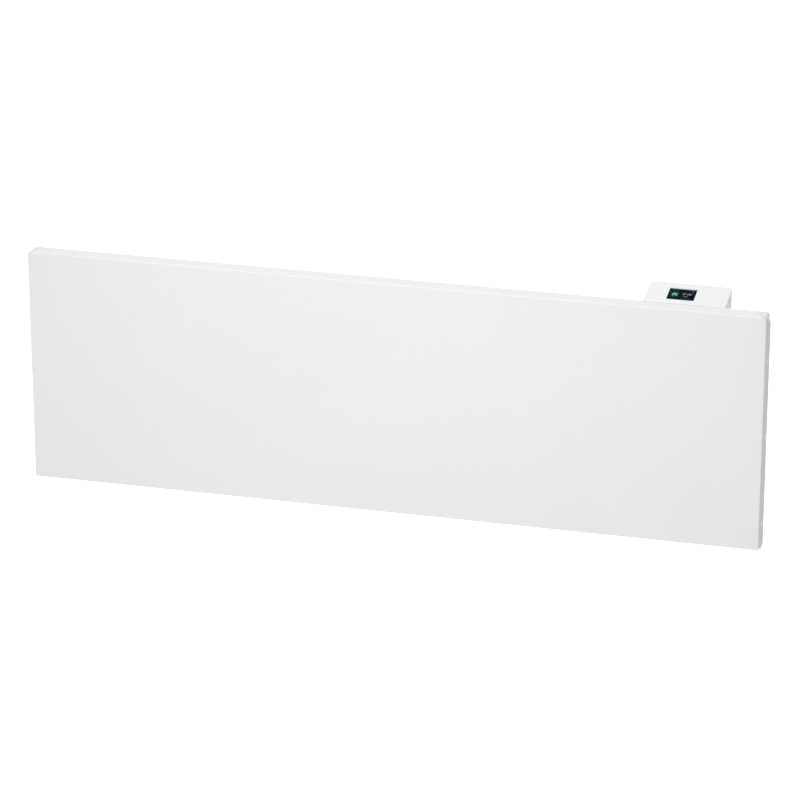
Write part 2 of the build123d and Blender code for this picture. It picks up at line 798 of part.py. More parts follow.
def element_bush(side):
    """Heat-proof bush that carries the sheath in its support plate."""
    centre = side * (support_x + support_sheet / 2)
    bush = rod_x(centre - bush_width / 2, centre + bush_width / 2, element_y, element_z, bush_radius)
    half_slot = support_sheet / 2 + bush_groove
    ring = rod_x(centre - half_slot, centre + half_slot, element_y, element_z, bush_radius + bush_collar)
    ring -= rod_x(
        centre - half_slot, centre + half_slot, element_y, element_z, bush_radius - bush_collar
    )
    bush -= ring
    return bush - rod_x(
        centre - bush_width, centre + bush_width, element_y, element_z, sheath_radius + hole_fit
    )


def element_bracket(side):
    """L-shaped support: plate round the bush, foot riveted to the casing's back."""
    low, high = element_z - support_half_height, element_z + support_half_height
    plate = side_block(
        side, support_x, support_x + support_sheet, element_y - support_reach, inner_back_y, low, high
    )
    plate += side_block(side, support_x, support_x + support_foot, support_foot_y, inner_back_y, low, high)
    span = sorted((side * (support_x - support_sheet), side * (support_x + 2 * support_sheet)))
    cuts = [rod_x(*span, element_y, element_z, bush_radius - bush_collar + hole_fit)]
    for step in (-support_rivet_z, support_rivet_z):
        foot_x = side * (support_x + support_foot / 2)
        cuts.append(rivet_hole(foot_x, element_z + step, support_foot_y, inner_back_y))
    return plate - cuts


def heat_shield():
    """Thin reflector between the element and the casing's back, on turned feet."""
    front = inner_back_y - shield_standoff
    profile = [
        (inner_back_y, element_z - shield_half_height),
        (inner_back_y, element_z - shield_half_height + shield_foot),
        (front, element_z - shield_half_height + shield_foot + shield_standoff),
        (front, element_z + shield_half_height - shield_foot - shield_standoff),
        (inner_back_y, element_z + shield_half_height - shield_foot),
        (inner_back_y, element_z + shield_half_height),
    ]
    shield = bent_sheet(profile, shield_sheet, -shield_half, shield_half)
    holes = [
        rivet_hole(x, z, inner_back_y - 2 * shield_sheet, inner_back_y)
        for x, z, sheet in inner_rivet_points() if sheet == shield_sheet
    ]
    return shield - holes


# ---------------------------------------------------------------- overheat cut-out
def cutout_bracket():
    """Small angle riveted to the casing; its shelf holds the cut-out."""
    shelf_z = cutout_z + cutout_radius
    half = cutout_radius + cutout_sheet
    front = cutout_front_y
    foot_top = shelf_z + cutout_foot
    profile = [(inner_back_y, foot_top), (inner_back_y, shelf_z), (front, shelf_z)]
    bracket = bent_sheet(profile, -cutout_sheet, grommet_x - half, grommet_x + half)
    return bracket - rivet_hole(
        grommet_x, cutout_rivet_z, inner_back_y - 2 * cutout_sheet, inner_back_y
    )


def overheat_cutout():
    """Bimetal capsule under the shelf, with two tabs that point down."""
    top = cutout_z + cutout_radius
    capsule = rod_z(grommet_x, lead_run_y, top - cutout_height, top, cutout_radius)
    capsule += rod_z(
        grommet_x, lead_run_y, top - 2 * cutout_height, top - cutout_height, cutout_radius - cutout_sheet
    )
    capsule = fillet(capsule.edges().group_by(Axis.Z)[0], cutout_sheet)
    for side in (-1, 1):
        x = grommet_x + side * cutout_tab_half
        capsule += block(
            x - cutout_tab[1], x + cutout_tab[1],
            lead_run_y - cutout_tab[0] / 2, lead_run_y + cutout_tab[0] / 2,
            top - 2 * cutout_height - cutout_tab[2], top - 2 * cutout_height,
        )
    return capsule


# ---------------------------------------------------------------- wiring
def lead(points, bend=lead_bend):
    """Insulated lead along straight runs joined by tangent arcs."""
    path = FilletPolyline(*points, radius=bend)
    start = Plane(path @ 0, z_dir=path % 0)
    return sweep(start * Circle(lead_radius), path=path)


def live_lead():
    """Terminal block to the cut-out, through the casing's grommet."""
    x = grommet_x - cutout_tab_half
    z = grommet_z + lead_spread / 2
    return lead([
        (grommet_x - lead_spread, terminal_face_y, z),
        (grommet_x - lead_spread, lead_run_y, z),
        (x, lead_run_y, z + 2 * lead_bend),
        (x, lead_run_y, cutout_tab_end_z),
    ], short_lead_bend)


def element_lead():
    """Cut-out to the element's right terminal."""
    x = grommet_x + cutout_tab_half
    return lead([
        (x, lead_run_y, cutout_tab_end_z),
        (x, lead_run_y, stud_z - lead_corner_drop),
        (lead_turn_x, lead_run_y, element_z + support_half_height + lead_corner_drop),
        (lead_turn_x, element_y, element_z),
        (terminal_end_x, element_y, element_z),
    ])


def neutral_lead():
    """Terminal block to the element's left terminal, clipped along the casing."""
    z = grommet_z + lead_spread / 2
    return lead([
        (grommet_x + lead_spread, terminal_face_y, z),
        (grommet_x + lead_spread, neutral_run_y, z),
        (-lead_turn_x, neutral_run_y, z),
        (-lead_turn_x, element_y, element_z),
        (-terminal_end_x, element_y, element_z),
    ])


def earth_lead():
    """Terminal block to the earth stud's ring tag."""
    z = grommet_z - lead_spread
    y = stud_tip_y - lead_radius
    return lead([
        (grommet_x, terminal_face_y, z),
        (grommet_x, y, z),
        (grommet_x, y, stud_z + stud_nut_radius + ring_tag),
    ], short_lead_bend)


def earth_stud():
    """Threaded stud through the casing with a nut and the lead's ring tag."""
    stud = rod_y(grommet_x, stud_tip_y, back_y, stud_z, stud_radius)
    nut_y = stud_tip_y + stud_nut / 2
    stud += Plane((grommet_x, nut_y, stud_z), x_dir=(1, 0, 0), z_dir=(0, 1, 0)) * extrude(
        RegularPolygon(stud_nut_radius, 6), amount=stud_nut
    )
    tag = block(
        grommet_x - lead_radius, grommet_x + lead_radius, stud_tip_y - 2 * lead_radius, nut_y,
        stud_z, stud_z + stud_nut_radius + ring_tag,
    )
    return stud + tag


def clip_xs():
    low, high = -lead_turn_x + clip_pitch / 3, grommet_x - clip_pitch / 3
    return slot_places(low, high, clip_pitch)


def lead_clips():
    """Saddle clips that hold the long lead off the casing's back."""
    z = grommet_z + lead_spread / 2
    clips = []
    bore = lead_radius + hole_fit
    for x in clip_xs():
        clip = block(
            x - clip_width / 2, x + clip_width / 2, neutral_run_y, inner_back_y,
            z - bore - clip_wall, z + bore + clip_wall,
        )
        clip += rod_x(x - clip_width / 2, x + clip_width / 2, neutral_run_y, z, bore + clip_wall)
        clips.append(clip - rod_x(x - clip_width, x + clip_width, neutral_run_y, z, bore))
    return Compound(clips)


def casing_grommet():
    """Rubber grommet through the casing and the control unit's front wall."""
    wall_end = back_y + control_wall
    ring = rod_y(grommet_x, inner_back_y - grommet_lip, wall_end + grommet_lip, grommet_z, grommet_hole)
    ring += rod_y(grommet_x, inner_back_y - grommet_lip, inner_back_y, grommet_z, grommet_flange)
    ring += rod_y(grommet_x, wall_end, wall_end + grommet_lip, grommet_z, grommet_flange)
    return ring - rod_y(
        grommet_x, inner_back_y - 2 * grommet_lip, wall_end + 2 * grommet_lip, grommet_z, grommet_bore
    )


# ---------------------------------------------------------------- hanging gear on the heater
def hanger_lug(side):
    """Plate with two ears that carry the hinge pin."""
    centre = side * hook_x
    plate = block(
        centre - lug_half_width, centre + lug_half_width, back_y, back_y + lug_sheet,
        pin_z - lug_below, pin_z + lug_above,
    )
    near = rail_sheet / 2 + lug_clearance
    cuts = [
        rivet_hole(centre + step, lug_rivet_z, back_y, back_y + lug_sheet)
        for step in (-lug_rivet_x, lug_rivet_x)
    ]
    for ear in (-1, 1):
        x_low, x_high = sorted((centre + ear * near, centre + ear * (near + lug_sheet)))
        plate += block(x_low, x_high, back_y + lug_sheet / 2, pin_y, pin_z - ear_radius, pin_z + ear_radius)
        plate += rod_x(x_low, x_high, pin_y, pin_z, ear_radius)
        cuts.append(rod_x(x_low, x_high, pin_y, pin_z, pin_radius + pin_fit))
    return plate - cuts


def hanger_pin(side):
    centre = side * hook_x
    half = rail_sheet / 2 + lug_clearance + lug_sheet + pin_fit
    pin = rod_x(centre - half, centre + half, pin_y, pin_z, pin_radius)
    pin += rod_x(centre - half - pin_head, centre - half, pin_y, pin_z, pin_head_radius)
    return pin + rod_x(centre + half, centre + half + pin_head, pin_y, pin_z, pin_head_radius)


def catch_strike(side):
    """Plate with a bead that snaps into the bracket's spring catch."""
    centre = side * catch_x
    strike = block(
        centre - strike_half_width, centre + strike_half_width, back_y, back_y + strike_sheet,
        catch_z - strike_half_height, catch_z + strike_half_height,
    )
    half_bead = bead_length / 2
    strike += block(
        centre - half_bead, centre + half_bead, back_y + strike_sheet / 2, bead_y,
        catch_z - strike_neck / 2, catch_z + strike_neck / 2,
    )
    strike += rod_x(centre - half_bead, centre + half_bead, bead_y, catch_z, bead_radius)
    holes = [
        rivet_hole(centre, catch_z + step, back_y, back_y + strike_sheet)
        for step in (-strike_rivet_z, strike_rivet_z)
    ]
    return strike - holes


# ---------------------------------------------------------------- wall bracket
def bracket_rail(side):
    """Folded steel rail: wall flange, web with the hook, front flange and catch tab."""
    centre = side * hook_x
    web_low, web_high = centre - rail_sheet / 2, centre + rail_sheet / 2
    opening_top = pin_z + hook_opening
    rail = block(web_low, web_high, -rail_depth, 0, opening_top, rail_top)
    rail += block(web_low, web_high, pin_y, 0, rail_bottom, opening_top)
    rail += rod_x(web_low, web_high, pin_y, pin_z, hook_radius)
    rail += block(
        web_low, web_high, pin_y - hook_radius, pin_y, pin_z, pin_z + hook_nose
    )
    rail -= rod_x(web_low, web_high, pin_y, pin_z, notch_radius)
    rail -= block(web_low, web_high, pin_y - notch_radius, pin_y + notch_radius, pin_z, opening_top)
    rail -= block(
        web_low, web_high, pin_y - 2 * hook_radius, pin_y - notch_radius, pin_z + hook_nose, opening_top
    )
    inner = abs(centre) - rail_sheet / 2
    rail += side_block(side, inner - rail_flange + rail_sheet, inner, -rail_sheet, 0, rail_bottom, rail_top)
    rail += side_block(
        side, inner - rail_front_flange, inner, -rail_depth, rail_sheet - rail_depth,
        -rail_front_half, rail_front_half,
    )
    rail += side_block(
        side, inner - rail_front_flange, inner, tab_y, tab_y + rail_sheet,
        catch_z - catch_tab_half, catch_z + catch_tab_half,
    )
    cuts = [rod_y(side * screw_x, -2 * rail_sheet, rail_sheet, z, screw_hole_radius) for z in screw_heights]
    cuts.append(rod_y(side * catch_x, tab_y, tab_y + rail_sheet, catch_z, rivet_radius + hole_fit))
    cuts.append(
        rod_y(side * catch_x, -rail_depth, rail_sheet - rail_depth, buffer_height, buffer_stem + hole_fit)
    )
    return rail - cuts


def bracket_bar(z):
    """Flat bar welded across the two rails' wall flanges."""
    half = hook_x - rail_sheet / 2 - rail_sheet / 2
    return block(-half, half, -rail_sheet - bar_sheet, -rail_sheet, z - bar_width / 2, z + bar_width / 2)


def catch_spring(side):
    """Spring clip: back plate on the tab, two leaves that close on the bead and flare out."""
    centre = side * catch_x
    leaf_y = tab_y - catch_leaf
    grip = bead_radius + body_gap
    half = catch_leaf_width / 2
    spring = block(
        centre - half, centre + half, leaf_y, tab_y, catch_z - catch_back_half, catch_z + catch_back_half
    )
    for up in (-1, 1):
        points = [
            (leaf_y + catch_leaf / 2, catch_z + up * (catch_back_half - catch_leaf)),
            (bead_y + bead_radius, catch_z + up * grip),
            (bead_y - catch_shoulder, catch_z + up * grip),
            (bead_y - catch_throat[0], catch_z + up * catch_throat[1]),
            (bead_y - catch_mouth[0], catch_z + up * catch_mouth[1]),
        ]
        spring += bent_sheet(points, -up * catch_leaf, centre - half, centre + half)
    return spring - rod_y(centre, leaf_y, tab_y, catch_z, rivet_radius + hole_fit)


def catch_rivets():
    rivets = [
        rivet(side * catch_x, catch_z, tab_y - catch_leaf, tab_y + rail_sheet) for _, side in SIDES
    ]
    return Compound(rivets)


def rail_buffer(side):
    """Rubber pad that the closed heater rests against."""
    x = side * catch_x
    pad = rod_y(x, back_y + body_gap, -rail_depth, buffer_height, buffer_radius)
    pad += rod_y(x, -rail_depth, 2 * rail_sheet - rail_depth, buffer_height, buffer_stem)
    return pad + rod_y(
        x, rail_sheet - rail_depth, 2 * rail_sheet - rail_depth, buffer_height, buffer_barb
    )


# ---------------------------------------------------------------- control unit shells
def control_profile():
    """(y, z) outline of the unit: sloping face, wedge over the outlet, box behind the casing."""
    wedge_y = behind_flange_y + grille_sheet + nest_gap
    return [
        (control_front_y, panel_top + nest_gap),
        (wedge_y, panel_top + nest_gap),
        (wedge_y, outlet_top + vent_gap),
        (back_y, outlet_bottom + vent_gap),
        (back_y, control_bottom),
        (control_back_y, control_bottom),
        (control_back_y, control_back_z),
        (control_front_y, control_front_z),
    ]


def control_solid(inset):
    """The unit's outer form, or the same moved inwards by a wall."""
    outline = make_face(Polyline(*[(0, y, z) for y, z in control_profile()], close=True))
    if inset > 0:
        outline = offset(outline, amount=-inset, kind=Kind.INTERSECTION)
    start = control_left + inset
    body = extrude(Pos(start, 0, 0) * outline, amount=control_width - 2 * inset, dir=(1, 0, 0))
    rear = [e for e in body.edges().filter_by(Axis.Z) if e.center().Y > control_back_y - inset - hole_fit]
    body = fillet(rear, control_back_radius - inset)
    if inset > 0:
        return body
    front = [e for e in body.edges().filter_by(Axis.Z) if e.center().Y < control_front_y + hole_fit]
    return fillet(front, control_front_radius)


def above_slope(drop):
    """Everything above the sloping face lowered by a drop, along its normal."""
    size = 2 * (control_width + control_drop)
    return slope_plane * Pos(0, 0, size / 2 - drop) * Box(size, size, size)


def slope_box(x_low, x_high, along_low, along_high, deep, shallow):
    """Box in the sloping face's own axes, between two depths below the face."""
    centre = Pos((x_low + x_high) / 2, (along_low + along_high) / 2, -(deep + shallow) / 2)
    return slope_plane * centre * Box(x_high - x_low, along_high - along_low, deep - shallow)


def cover_boss_places():
    half = control_width / 2 - control_wall - control_board_margin - cover_boss_inset
    low = control_board_from_edge + cover_boss_inset
    high = control_board_from_edge + control_board_height - cover_boss_inset
    return [(x, along) for x in (-half, half) for along in (low, high)]


def control_cover():
    """Sloping top shell with the display opening and four board bosses."""
    cover = control_solid(0) & above_slope(cover_thickness)
    half = display_width / 2
    cover -= slope_box(
        display_offset - half, display_offset + half,
        display_from_edge, display_from_edge + display_height, 2 * cover_thickness, -cover_thickness,
    )
    height = board_top - cover_thickness
    for x, along in cover_boss_places():
        post = slope_plane * Pos(x, along, -cover_thickness - height / 2)
        cover += post * Cylinder(cover_boss_radius, height)
        cover -= slope_plane * Pos(x, along, -board_top + height / 2) * Cylinder(
            small_screw_radius + hole_fit, height + cover_seat
        )
    front = [
        e for e in cover.edges()
        if (slope_plane.to_local_coords(e.center())).Z > -window_fit / 2
        and outside_window(slope_plane.to_local_coords(e.center()))
    ]
    return fillet(front, cover_edge_radius)


def outside_window(point):
    """True where a point of the face lies beyond the display opening."""
    half = display_width / 2 + display_border / 2
    in_x = abs(point.X - display_offset) < half
    in_y = abs(point.Y - display_from_edge - display_height / 2) < (display_height + display_border) / 2
    return not (in_x and in_y)


def control_housing():
    """Body shell of the unit, open under its cover."""
    housing = control_solid(0) - above_slope(cover_thickness + cover_seat)
    housing -= control_solid(control_wall)
    wall_front = back_y + control_wall
    for x, z in mains_board_posts():
        housing += rod_y(x, standoff_y, control_back_y - control_wall / 2, z, standoff_radius)
    for x in clamp_posts():
        housing += rod_y(
            x, clamp_front_y + clamp_size[1], control_back_y - control_wall / 2, clamp_z, clamp_post_radius
        )
    cuts = [
        rod_y(grommet_x, back_y - control_wall, wall_front, grommet_z, grommet_hole + hole_fit),
        rod_z(gland_x, gland_y, control_bottom, control_floor, gland_thread_radius + gland_fit),
        rod_z(sensor_x, gland_y, control_bottom, control_floor, sensor_radius + hole_fit),
        block(
            control_right - 2 * control_wall, control_right + control_wall,
            switch_y - switch_hole_half[0], switch_y + switch_hole_half[0],
            switch_z - switch_hole_half[1], switch_z + switch_hole_half[1],
        ),
    ]
    cuts += [rivet_hole(x, z, back_y, wall_front) for x, z, _ in control_rivet_points()]
    screw_reach = small_screw_length + hole_fit
    for x, z in mains_board_posts():
        cuts.append(rod_y(x, standoff_y, standoff_y + screw_reach, z, small_screw_radius + hole_fit))
    for x in clamp_posts():
        low = clamp_front_y + clamp_size[1]
        cuts.append(rod_y(x, low, low + screw_reach, clamp_z, small_screw_radius + hole_fit))
    return housing - cuts


def mains_board_posts():
    left = mains_board_left + mains_board_corner
    right = mains_board_right - mains_board_corner
    low = mains_board_low + mains_board_corner
    high = mains_board_low + mains_board_height - mains_board_corner
    return [(x, z) for x in (left, right) for z in (low, high)]


# ---------------------------------------------------------------- control unit: display and boards
def display_window():
    half = display_width / 2 - window_fit
    return slope_box(
        display_offset - half, display_offset + half,
        display_from_edge + window_fit, display_from_edge + display_height - window_fit,
        window_thickness, 0,
    )


def display_module():
    """Display panel: its glass sits in the opening under the window, its frame under the cover."""
    half = display_width / 2 - window_fit
    glass = slope_box(
        display_offset - half, display_offset + half,
        display_from_edge + window_fit, display_from_edge + display_height - window_fit,
        cover_thickness + display_thickness / 2, window_thickness,
    )
    frame_half = display_width / 2 + display_border
    return glass + slope_box(
        display_offset - frame_half, display_offset + frame_half,
        display_from_edge - display_border, display_from_edge + display_height + display_border,
        cover_thickness + display_thickness, cover_thickness,
    )


def control_board():
    half = control_width / 2 - control_wall - control_board_margin
    board = slope_box(
        -half, half, control_board_from_edge, control_board_from_edge + control_board_height,
        board_top + board_thickness, board_top,
    )
    for x, along in cover_boss_places():
        board -= slope_plane * Pos(x, along, -board_top) * Cylinder(
            small_screw_radius + hole_fit, 4 * board_thickness
        )
    return board


def board_ribbon():
    """Flat cable from the mains board up to the control board."""
    board_under = slope_plane.from_local_coords(
        Vector(0, control_board_from_edge + ribbon_from_edge, -board_top - board_thickness)
    )
    start_z = mains_board_low + mains_board_height - mains_board_corner
    bend_y = mains_board_y - ribbon_bend
    points = [
        (mains_board_y, start_z),
        (bend_y, start_z + ribbon_bend),
        (bend_y, start_z + 4 * ribbon_bend),
        (board_under.Y, board_under.Z),
    ]
    return bent_sheet(
        points, ribbon_thickness, control_x - ribbon_half_width, control_x + ribbon_half_width
    )


def power_board():
    board = block(
        mains_board_left, mains_board_right, mains_board_y, standoff_y,
        mains_board_low, mains_board_low + mains_board_height,
    )
    holes = [
        rod_y(x, mains_board_y, standoff_y, z, small_screw_radius + hole_fit) for x, z in mains_board_posts()
    ]
    return board - holes


def on_board(size, place):
    """Box mounted on the mains board's front face, at a place on the board."""
    x = mains_board_x + place[0]
    z = mains_board_low + place[1]
    return block(
        x - size[0] / 2, x + size[0] / 2, mains_board_y - size[1], mains_board_y,
        z - size[2] / 2, z + size[2] / 2,
    )


def relay():
    body = on_board(relay_size, relay_place)
    return fillet(body.faces().sort_by(Axis.Y)[0].edges(), part_edge_radius)


def supply_module():
    body = on_board(supply_size, supply_place)
    return chamfer(body.faces().sort_by(Axis.Y)[0].edges(), part_edge_radius)


def capacitor():
    x = mains_board_x + capacitor_place[0]
    z = mains_board_low + capacitor_place[1]
    can = rod_y(x, mains_board_y - capacitor_length, mains_board_y, z, capacitor_radius)
    return fillet(can.edges().sort_by(Axis.Y)[0], part_edge_radius)


def terminal_block():
    """Three-way block; each way has a screw well on top."""
    body = on_board(terminal_block_size, terminal_place)
    top = grommet_z + terminal_block_size[2] / 2
    third = terminal_block_size[0] / 3
    cuts = []
    for step in (-third, 0, third):
        cuts.append(rod_z(
            grommet_x + step, terminal_face_y + terminal_block_size[1] / 2,
            top - terminal_hole_depth, top, terminal_hole_radius,
        ))
    return body - cuts


def control_screws():
    """Screws of the mains board, the cord clamp and the control board."""
    screws = []
    facing_front = {"x_dir": (1, 0, 0), "z_dir": (0, -1, 0)}
    for x, z in mains_board_posts():
        screws.append(small_screw(Plane((x, mains_board_y, z), **facing_front)))
    for x in clamp_posts():
        screws.append(small_screw(Plane((x, clamp_front_y, clamp_z), **facing_front)))
    for x, along in cover_boss_places():
        place = slope_plane * Pos(x, along, -board_top - board_thickness) * Rot(180, 0, 0)
        short = board_thickness + display_thickness
        shank = Pos(0, 0, -short / 2) * Cylinder(small_screw_radius, short)
        head = Pos(0, 0, small_screw_head / 2) * Cylinder(small_screw_head_radius, small_screw_head)
        screws.append(place * (shank + head))
    return Compound(screws)


# ---------------------------------------------------------------- power switch
def switch_body():
    """Snap-in housing with a bezel, a well for the rocker and two pivot holes."""
    half_y, half_z = switch_body_half
    rim_y, rim_z = half_y + switch_bezel_border, half_z + switch_bezel_border
    bezel = block(
        control_right, bezel_x, switch_y - rim_y, switch_y + rim_y, switch_z - rim_z, switch_z + rim_z
    )
    bezel = fillet(bezel.faces().sort_by(Axis.X)[-1].edges(), switch_bezel_border / 2)
    body = bezel + block(
        control_right - switch_body_depth, control_right,
        switch_y - half_y, switch_y + half_y, switch_z - half_z, switch_z + half_z,
    )
    body -= block(
        bezel_x - switch_well, bezel_x + switch_bezel,
        switch_y - switch_opening[0] / 2, switch_y + switch_opening[0] / 2,
        switch_z - switch_opening[1] / 2, switch_z + switch_opening[1] / 2,
    )
    reach = switch_opening[0] / 2 + trunnion_length
    return body - rod_y(
        rocker_x, switch_y - reach, switch_y + reach, switch_z, trunnion_radius + trunnion_fit
    )


def power_rocker():
    """Two-position rocker on its trunnions, shown with its upper end pressed in."""
    half_y = switch_opening[0] / 2 - rocker_clearance
    outline = [
        (-rocker_foot, -rocker_half_length / 2),
        (0, -rocker_half_length),
        (rocker_end, -rocker_half_length),
        (rocker_ridge, 0),
        (rocker_end, rocker_half_length),
        (0, rocker_half_length),
        (-rocker_foot, rocker_half_length / 2),
    ]
    rocker = prism_y(outline, -half_y, half_y)
    rocker = fillet(rocker.edges().filter_by(Axis.Y).sort_by(Axis.X)[-2:], rocker_edge_radius)
    reach = half_y + rocker_clearance + trunnion_length - hole_fit
    rocker += rod_y(0, -reach, reach, 0, trunnion_radius)
    return Pos(rocker_x, switch_y, switch_z) * Rot(0, -rocker_throw / 2, 0) * rocker


def switch_terminals():
    """Four tabs at the back of the switch."""
    tabs = []
    inner = control_right - switch_body_depth
    for y_side in (-1, 1):
        for z_side in (-1, 1):
            y = switch_y + y_side * switch_body_half[0] / 2
            z = switch_z + z_side * switch_body_half[1] / 2
            tabs.append(block(
                inner - blade_size[0], inner, y - blade_size[1] / 2, y + blade_size[1] / 2,
                z - blade_size[2] / 2, z + blade_size[2] / 2,
            ))
    return Compound(tabs)


def switch_leads():
    """Two leads from the switch's lower tabs down to the mains board."""
    leads = []
    x = control_right - switch_body_depth - blade_size[0] / 2
    start_z = switch_z - switch_body_half[1] / 2 - blade_size[2] / 2
    for y_side, height in zip((-1, 1), switch_lead_heights):
        y = switch_y + y_side * switch_body_half[0] / 2
        end_z = mains_board_low + height
        leads.append(lead([
            (x, y, start_z),
            (x, y, end_z),
            (switch_lead_x, y, end_z),
            (switch_lead_x, mains_board_y, end_z),
        ], switch_lead_bend))
    return Compound(leads)


# ---------------------------------------------------------------- cord inlet, clamp and room sensor
def clamp_posts():
    return [gland_x - clamp_post_half, gland_x + clamp_post_half]


def cable_gland():
    """Threaded gland body: flange under the unit's floor, lock ring above it."""
    gland = rod_z(
        gland_x, gland_y, control_bottom - gland_nut_height,
        control_floor + gland_lock_height, gland_thread_radius,
    )
    gland += rod_z(gland_x, gland_y, control_bottom - gland_flange, control_bottom, gland_flange_radius)
    gland += rod_z(
        gland_x, gland_y, control_floor, control_floor + gland_lock_height / 2, gland_flange_radius
    )
    return gland - rod_z(
        gland_x, gland_y, control_bottom - 2 * gland_nut_height, control_floor + 2 * gland_lock_height,
        cord_bore_radius,
    )


def gland_nut():
    """Domed cap nut screwed on the gland from below."""
    top = control_bottom - gland_flange
    low = control_bottom - gland_nut_height
    nut = Pos(gland_x, gland_y, low) * extrude(RegularPolygon(gland_nut_radius, 6), amount=top - low)
    dome_low = low - gland_flange
    nut += rod_z(gland_x, gland_y, dome_low, low, gland_thread_radius + gland_fit + hole_fit)
    nut = fillet(nut.edges().group_by(Axis.Z)[0], part_edge_radius)
    nut -= rod_z(gland_x, gland_y, low, top, gland_thread_radius + hole_fit)
    return nut - rod_z(gland_x, gland_y, dome_low - gland_flange, low, cord_bore_radius)


def cord_clamp():
    """Bar with a cord saddle, screwed to two posts above the gland."""
    bar = block(
        gland_x - clamp_size[0] / 2, gland_x + clamp_size[0] / 2,
        clamp_front_y, clamp_front_y + clamp_size[1],
        clamp_z - clamp_size[2] / 2, clamp_z + clamp_size[2] / 2,
    )
    cuts = [rod_z(
        gland_x, clamp_front_y + clamp_size[1] + cord_bore_radius / 2,
        clamp_z - clamp_size[2], clamp_z + clamp_size[2], cord_bore_radius,
    )]
    for x in clamp_posts():
        cuts.append(rod_y(
            x, clamp_front_y, clamp_front_y + clamp_size[1], clamp_z, small_screw_radius + hole_fit
        ))
    return bar - cuts


def room_sensor():
    """Temperature probe that looks out of the unit's floor."""
    low = control_bottom - sensor_out
    probe = rod_z(sensor_x, gland_y, low, low + sensor_length, sensor_radius)
    probe = fillet(probe.edges().group_by(Axis.Z)[0], sensor_radius - gland_fit)
    return probe + rod_z(
        sensor_x, gland_y, control_floor, control_floor + sensor_collar, sensor_collar_radius
    )


# ---------------------------------------------------------------- the assembly
def all_nodes():
    """Node name to shape, in the order from the wall to the room."""
    nodes = {
        "bracket_bar_upper": bracket_bar(bar_offset),
        "bracket_bar_lower": bracket_bar(-bar_offset),
        "catch_rivets": catch_rivets(),
        "front_panel": front_panel(),
        "rear_casing": rear_casing(),
        "outlet_grille": outlet_grille(),
        "intake_grille": intake_grille(),
        "panel_screws": panel_screws(),
        "casing_rivets": casing_rivets(),
        "element_fins": element_fins(),
        "element_sheath": element_sheath(),
        "element_terminals": element_terminals(),
        "heat_shield": heat_shield(),
        "cutout_bracket": cutout_bracket(),
        "overheat_cutout": overheat_cutout(),
        "live_lead": live_lead(),
        "element_lead": element_lead(),
        "neutral_lead": neutral_lead(),
        "earth_lead": earth_lead(),
        "switch_leads": switch_leads(),
        "lead_clips": lead_clips(),
        "earth_stud": earth_stud(),
        "casing_grommet": casing_grommet(),
        "control_housing": control_housing(),
        "control_cover": control_cover(),
        "control_screws": control_screws(),
        "control_board": control_board(),
        "display_window": display_window(),
        "display_module": display_module(),
        "board_ribbon": board_ribbon(),
        "power_board": power_board(),
        "relay": relay(),
        "supply_module": supply_module(),
        "capacitor": capacitor(),
        "terminal_block": terminal_block(),
        "room_sensor": room_sensor(),
        "cable_gland": cable_gland(),
        "gland_nut": gland_nut(),
        "cord_clamp": cord_clamp(),
        "switch_body": switch_body(),
        "switch_terminals": switch_terminals(),
        "power_rocker": power_rocker(),
    }
    sided = (
        bracket_rail, catch_spring, rail_buffer, hanger_lug, hanger_pin, catch_strike,
        corner_cap, element_bush, element_bracket,
    )
    for make in sided:
        for name, side in SIDES:
            nodes[f"{make.__name__}_{name}"] = make(side)
    return nodes


os.makedirs("parts", exist_ok=True)
for node_name, node_shape in all_nodes().items():
    export_step(node_shape, f"parts/{node_name}.step")
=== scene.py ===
import math

import bmesh
import bpy
import numpy as np
from bpy.props import FloatProperty, FloatVectorProperty, IntProperty, PointerProperty
from bpy.types import Operator, Panel, PropertyGroup
from mathutils import Matrix, Vector


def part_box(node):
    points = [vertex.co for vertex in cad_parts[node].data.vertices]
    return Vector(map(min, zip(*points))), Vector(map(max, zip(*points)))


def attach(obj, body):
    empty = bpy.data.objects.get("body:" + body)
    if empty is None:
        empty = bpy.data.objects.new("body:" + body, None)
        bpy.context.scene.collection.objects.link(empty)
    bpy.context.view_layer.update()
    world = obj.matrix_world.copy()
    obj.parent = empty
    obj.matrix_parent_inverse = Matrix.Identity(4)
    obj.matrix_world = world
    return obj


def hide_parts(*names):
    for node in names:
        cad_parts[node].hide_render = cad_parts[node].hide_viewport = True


bl_info = {
    "name": "Wall panel heater",
    "version": (1, 0, 0),
    "blender": (4, 5, 0),
    "location": "3D View > Sidebar > Heater",
    "description": "Finishes, small turned pieces, display and studio for the wall panel heater",
    "category": "Object",
}

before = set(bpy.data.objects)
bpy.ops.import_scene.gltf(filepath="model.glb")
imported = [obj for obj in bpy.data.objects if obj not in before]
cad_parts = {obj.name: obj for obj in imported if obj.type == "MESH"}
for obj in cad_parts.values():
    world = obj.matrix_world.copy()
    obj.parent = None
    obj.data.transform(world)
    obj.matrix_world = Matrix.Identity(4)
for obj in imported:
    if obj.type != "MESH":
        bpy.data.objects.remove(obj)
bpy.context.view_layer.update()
MM = 0.001
SIDES = ("left", "right")
WHITE = (1.0, 1.0, 1.0)
CAMERA_PLACE = (1.4330, -5.4436, 2.1827)
CAMERA_TILT, CAMERA_TURN = 68.499, 14.809   # degrees about X, then about Z
SENSOR_WIDTH = 36.0                         # mm


# -------------------- sizes and colours a user may change
def length(name, description, default, most=10.0):
    """A length in metres."""
    return FloatProperty(
        name=name, description=description, default=default, min=0.0, max=most,
        unit="LENGTH", subtype="DISTANCE", precision=5,
    )


def share(name, description, default):
    """A share from 0 to 1."""
    return FloatProperty(
        name=name, description=description, default=default, min=0.0, max=1.0, subtype="FACTOR"
    )


def strength(name, description, default, most):
    """A factor from 0 up."""
    return FloatProperty(name=name, description=description, default=default, min=0.0, max=most)


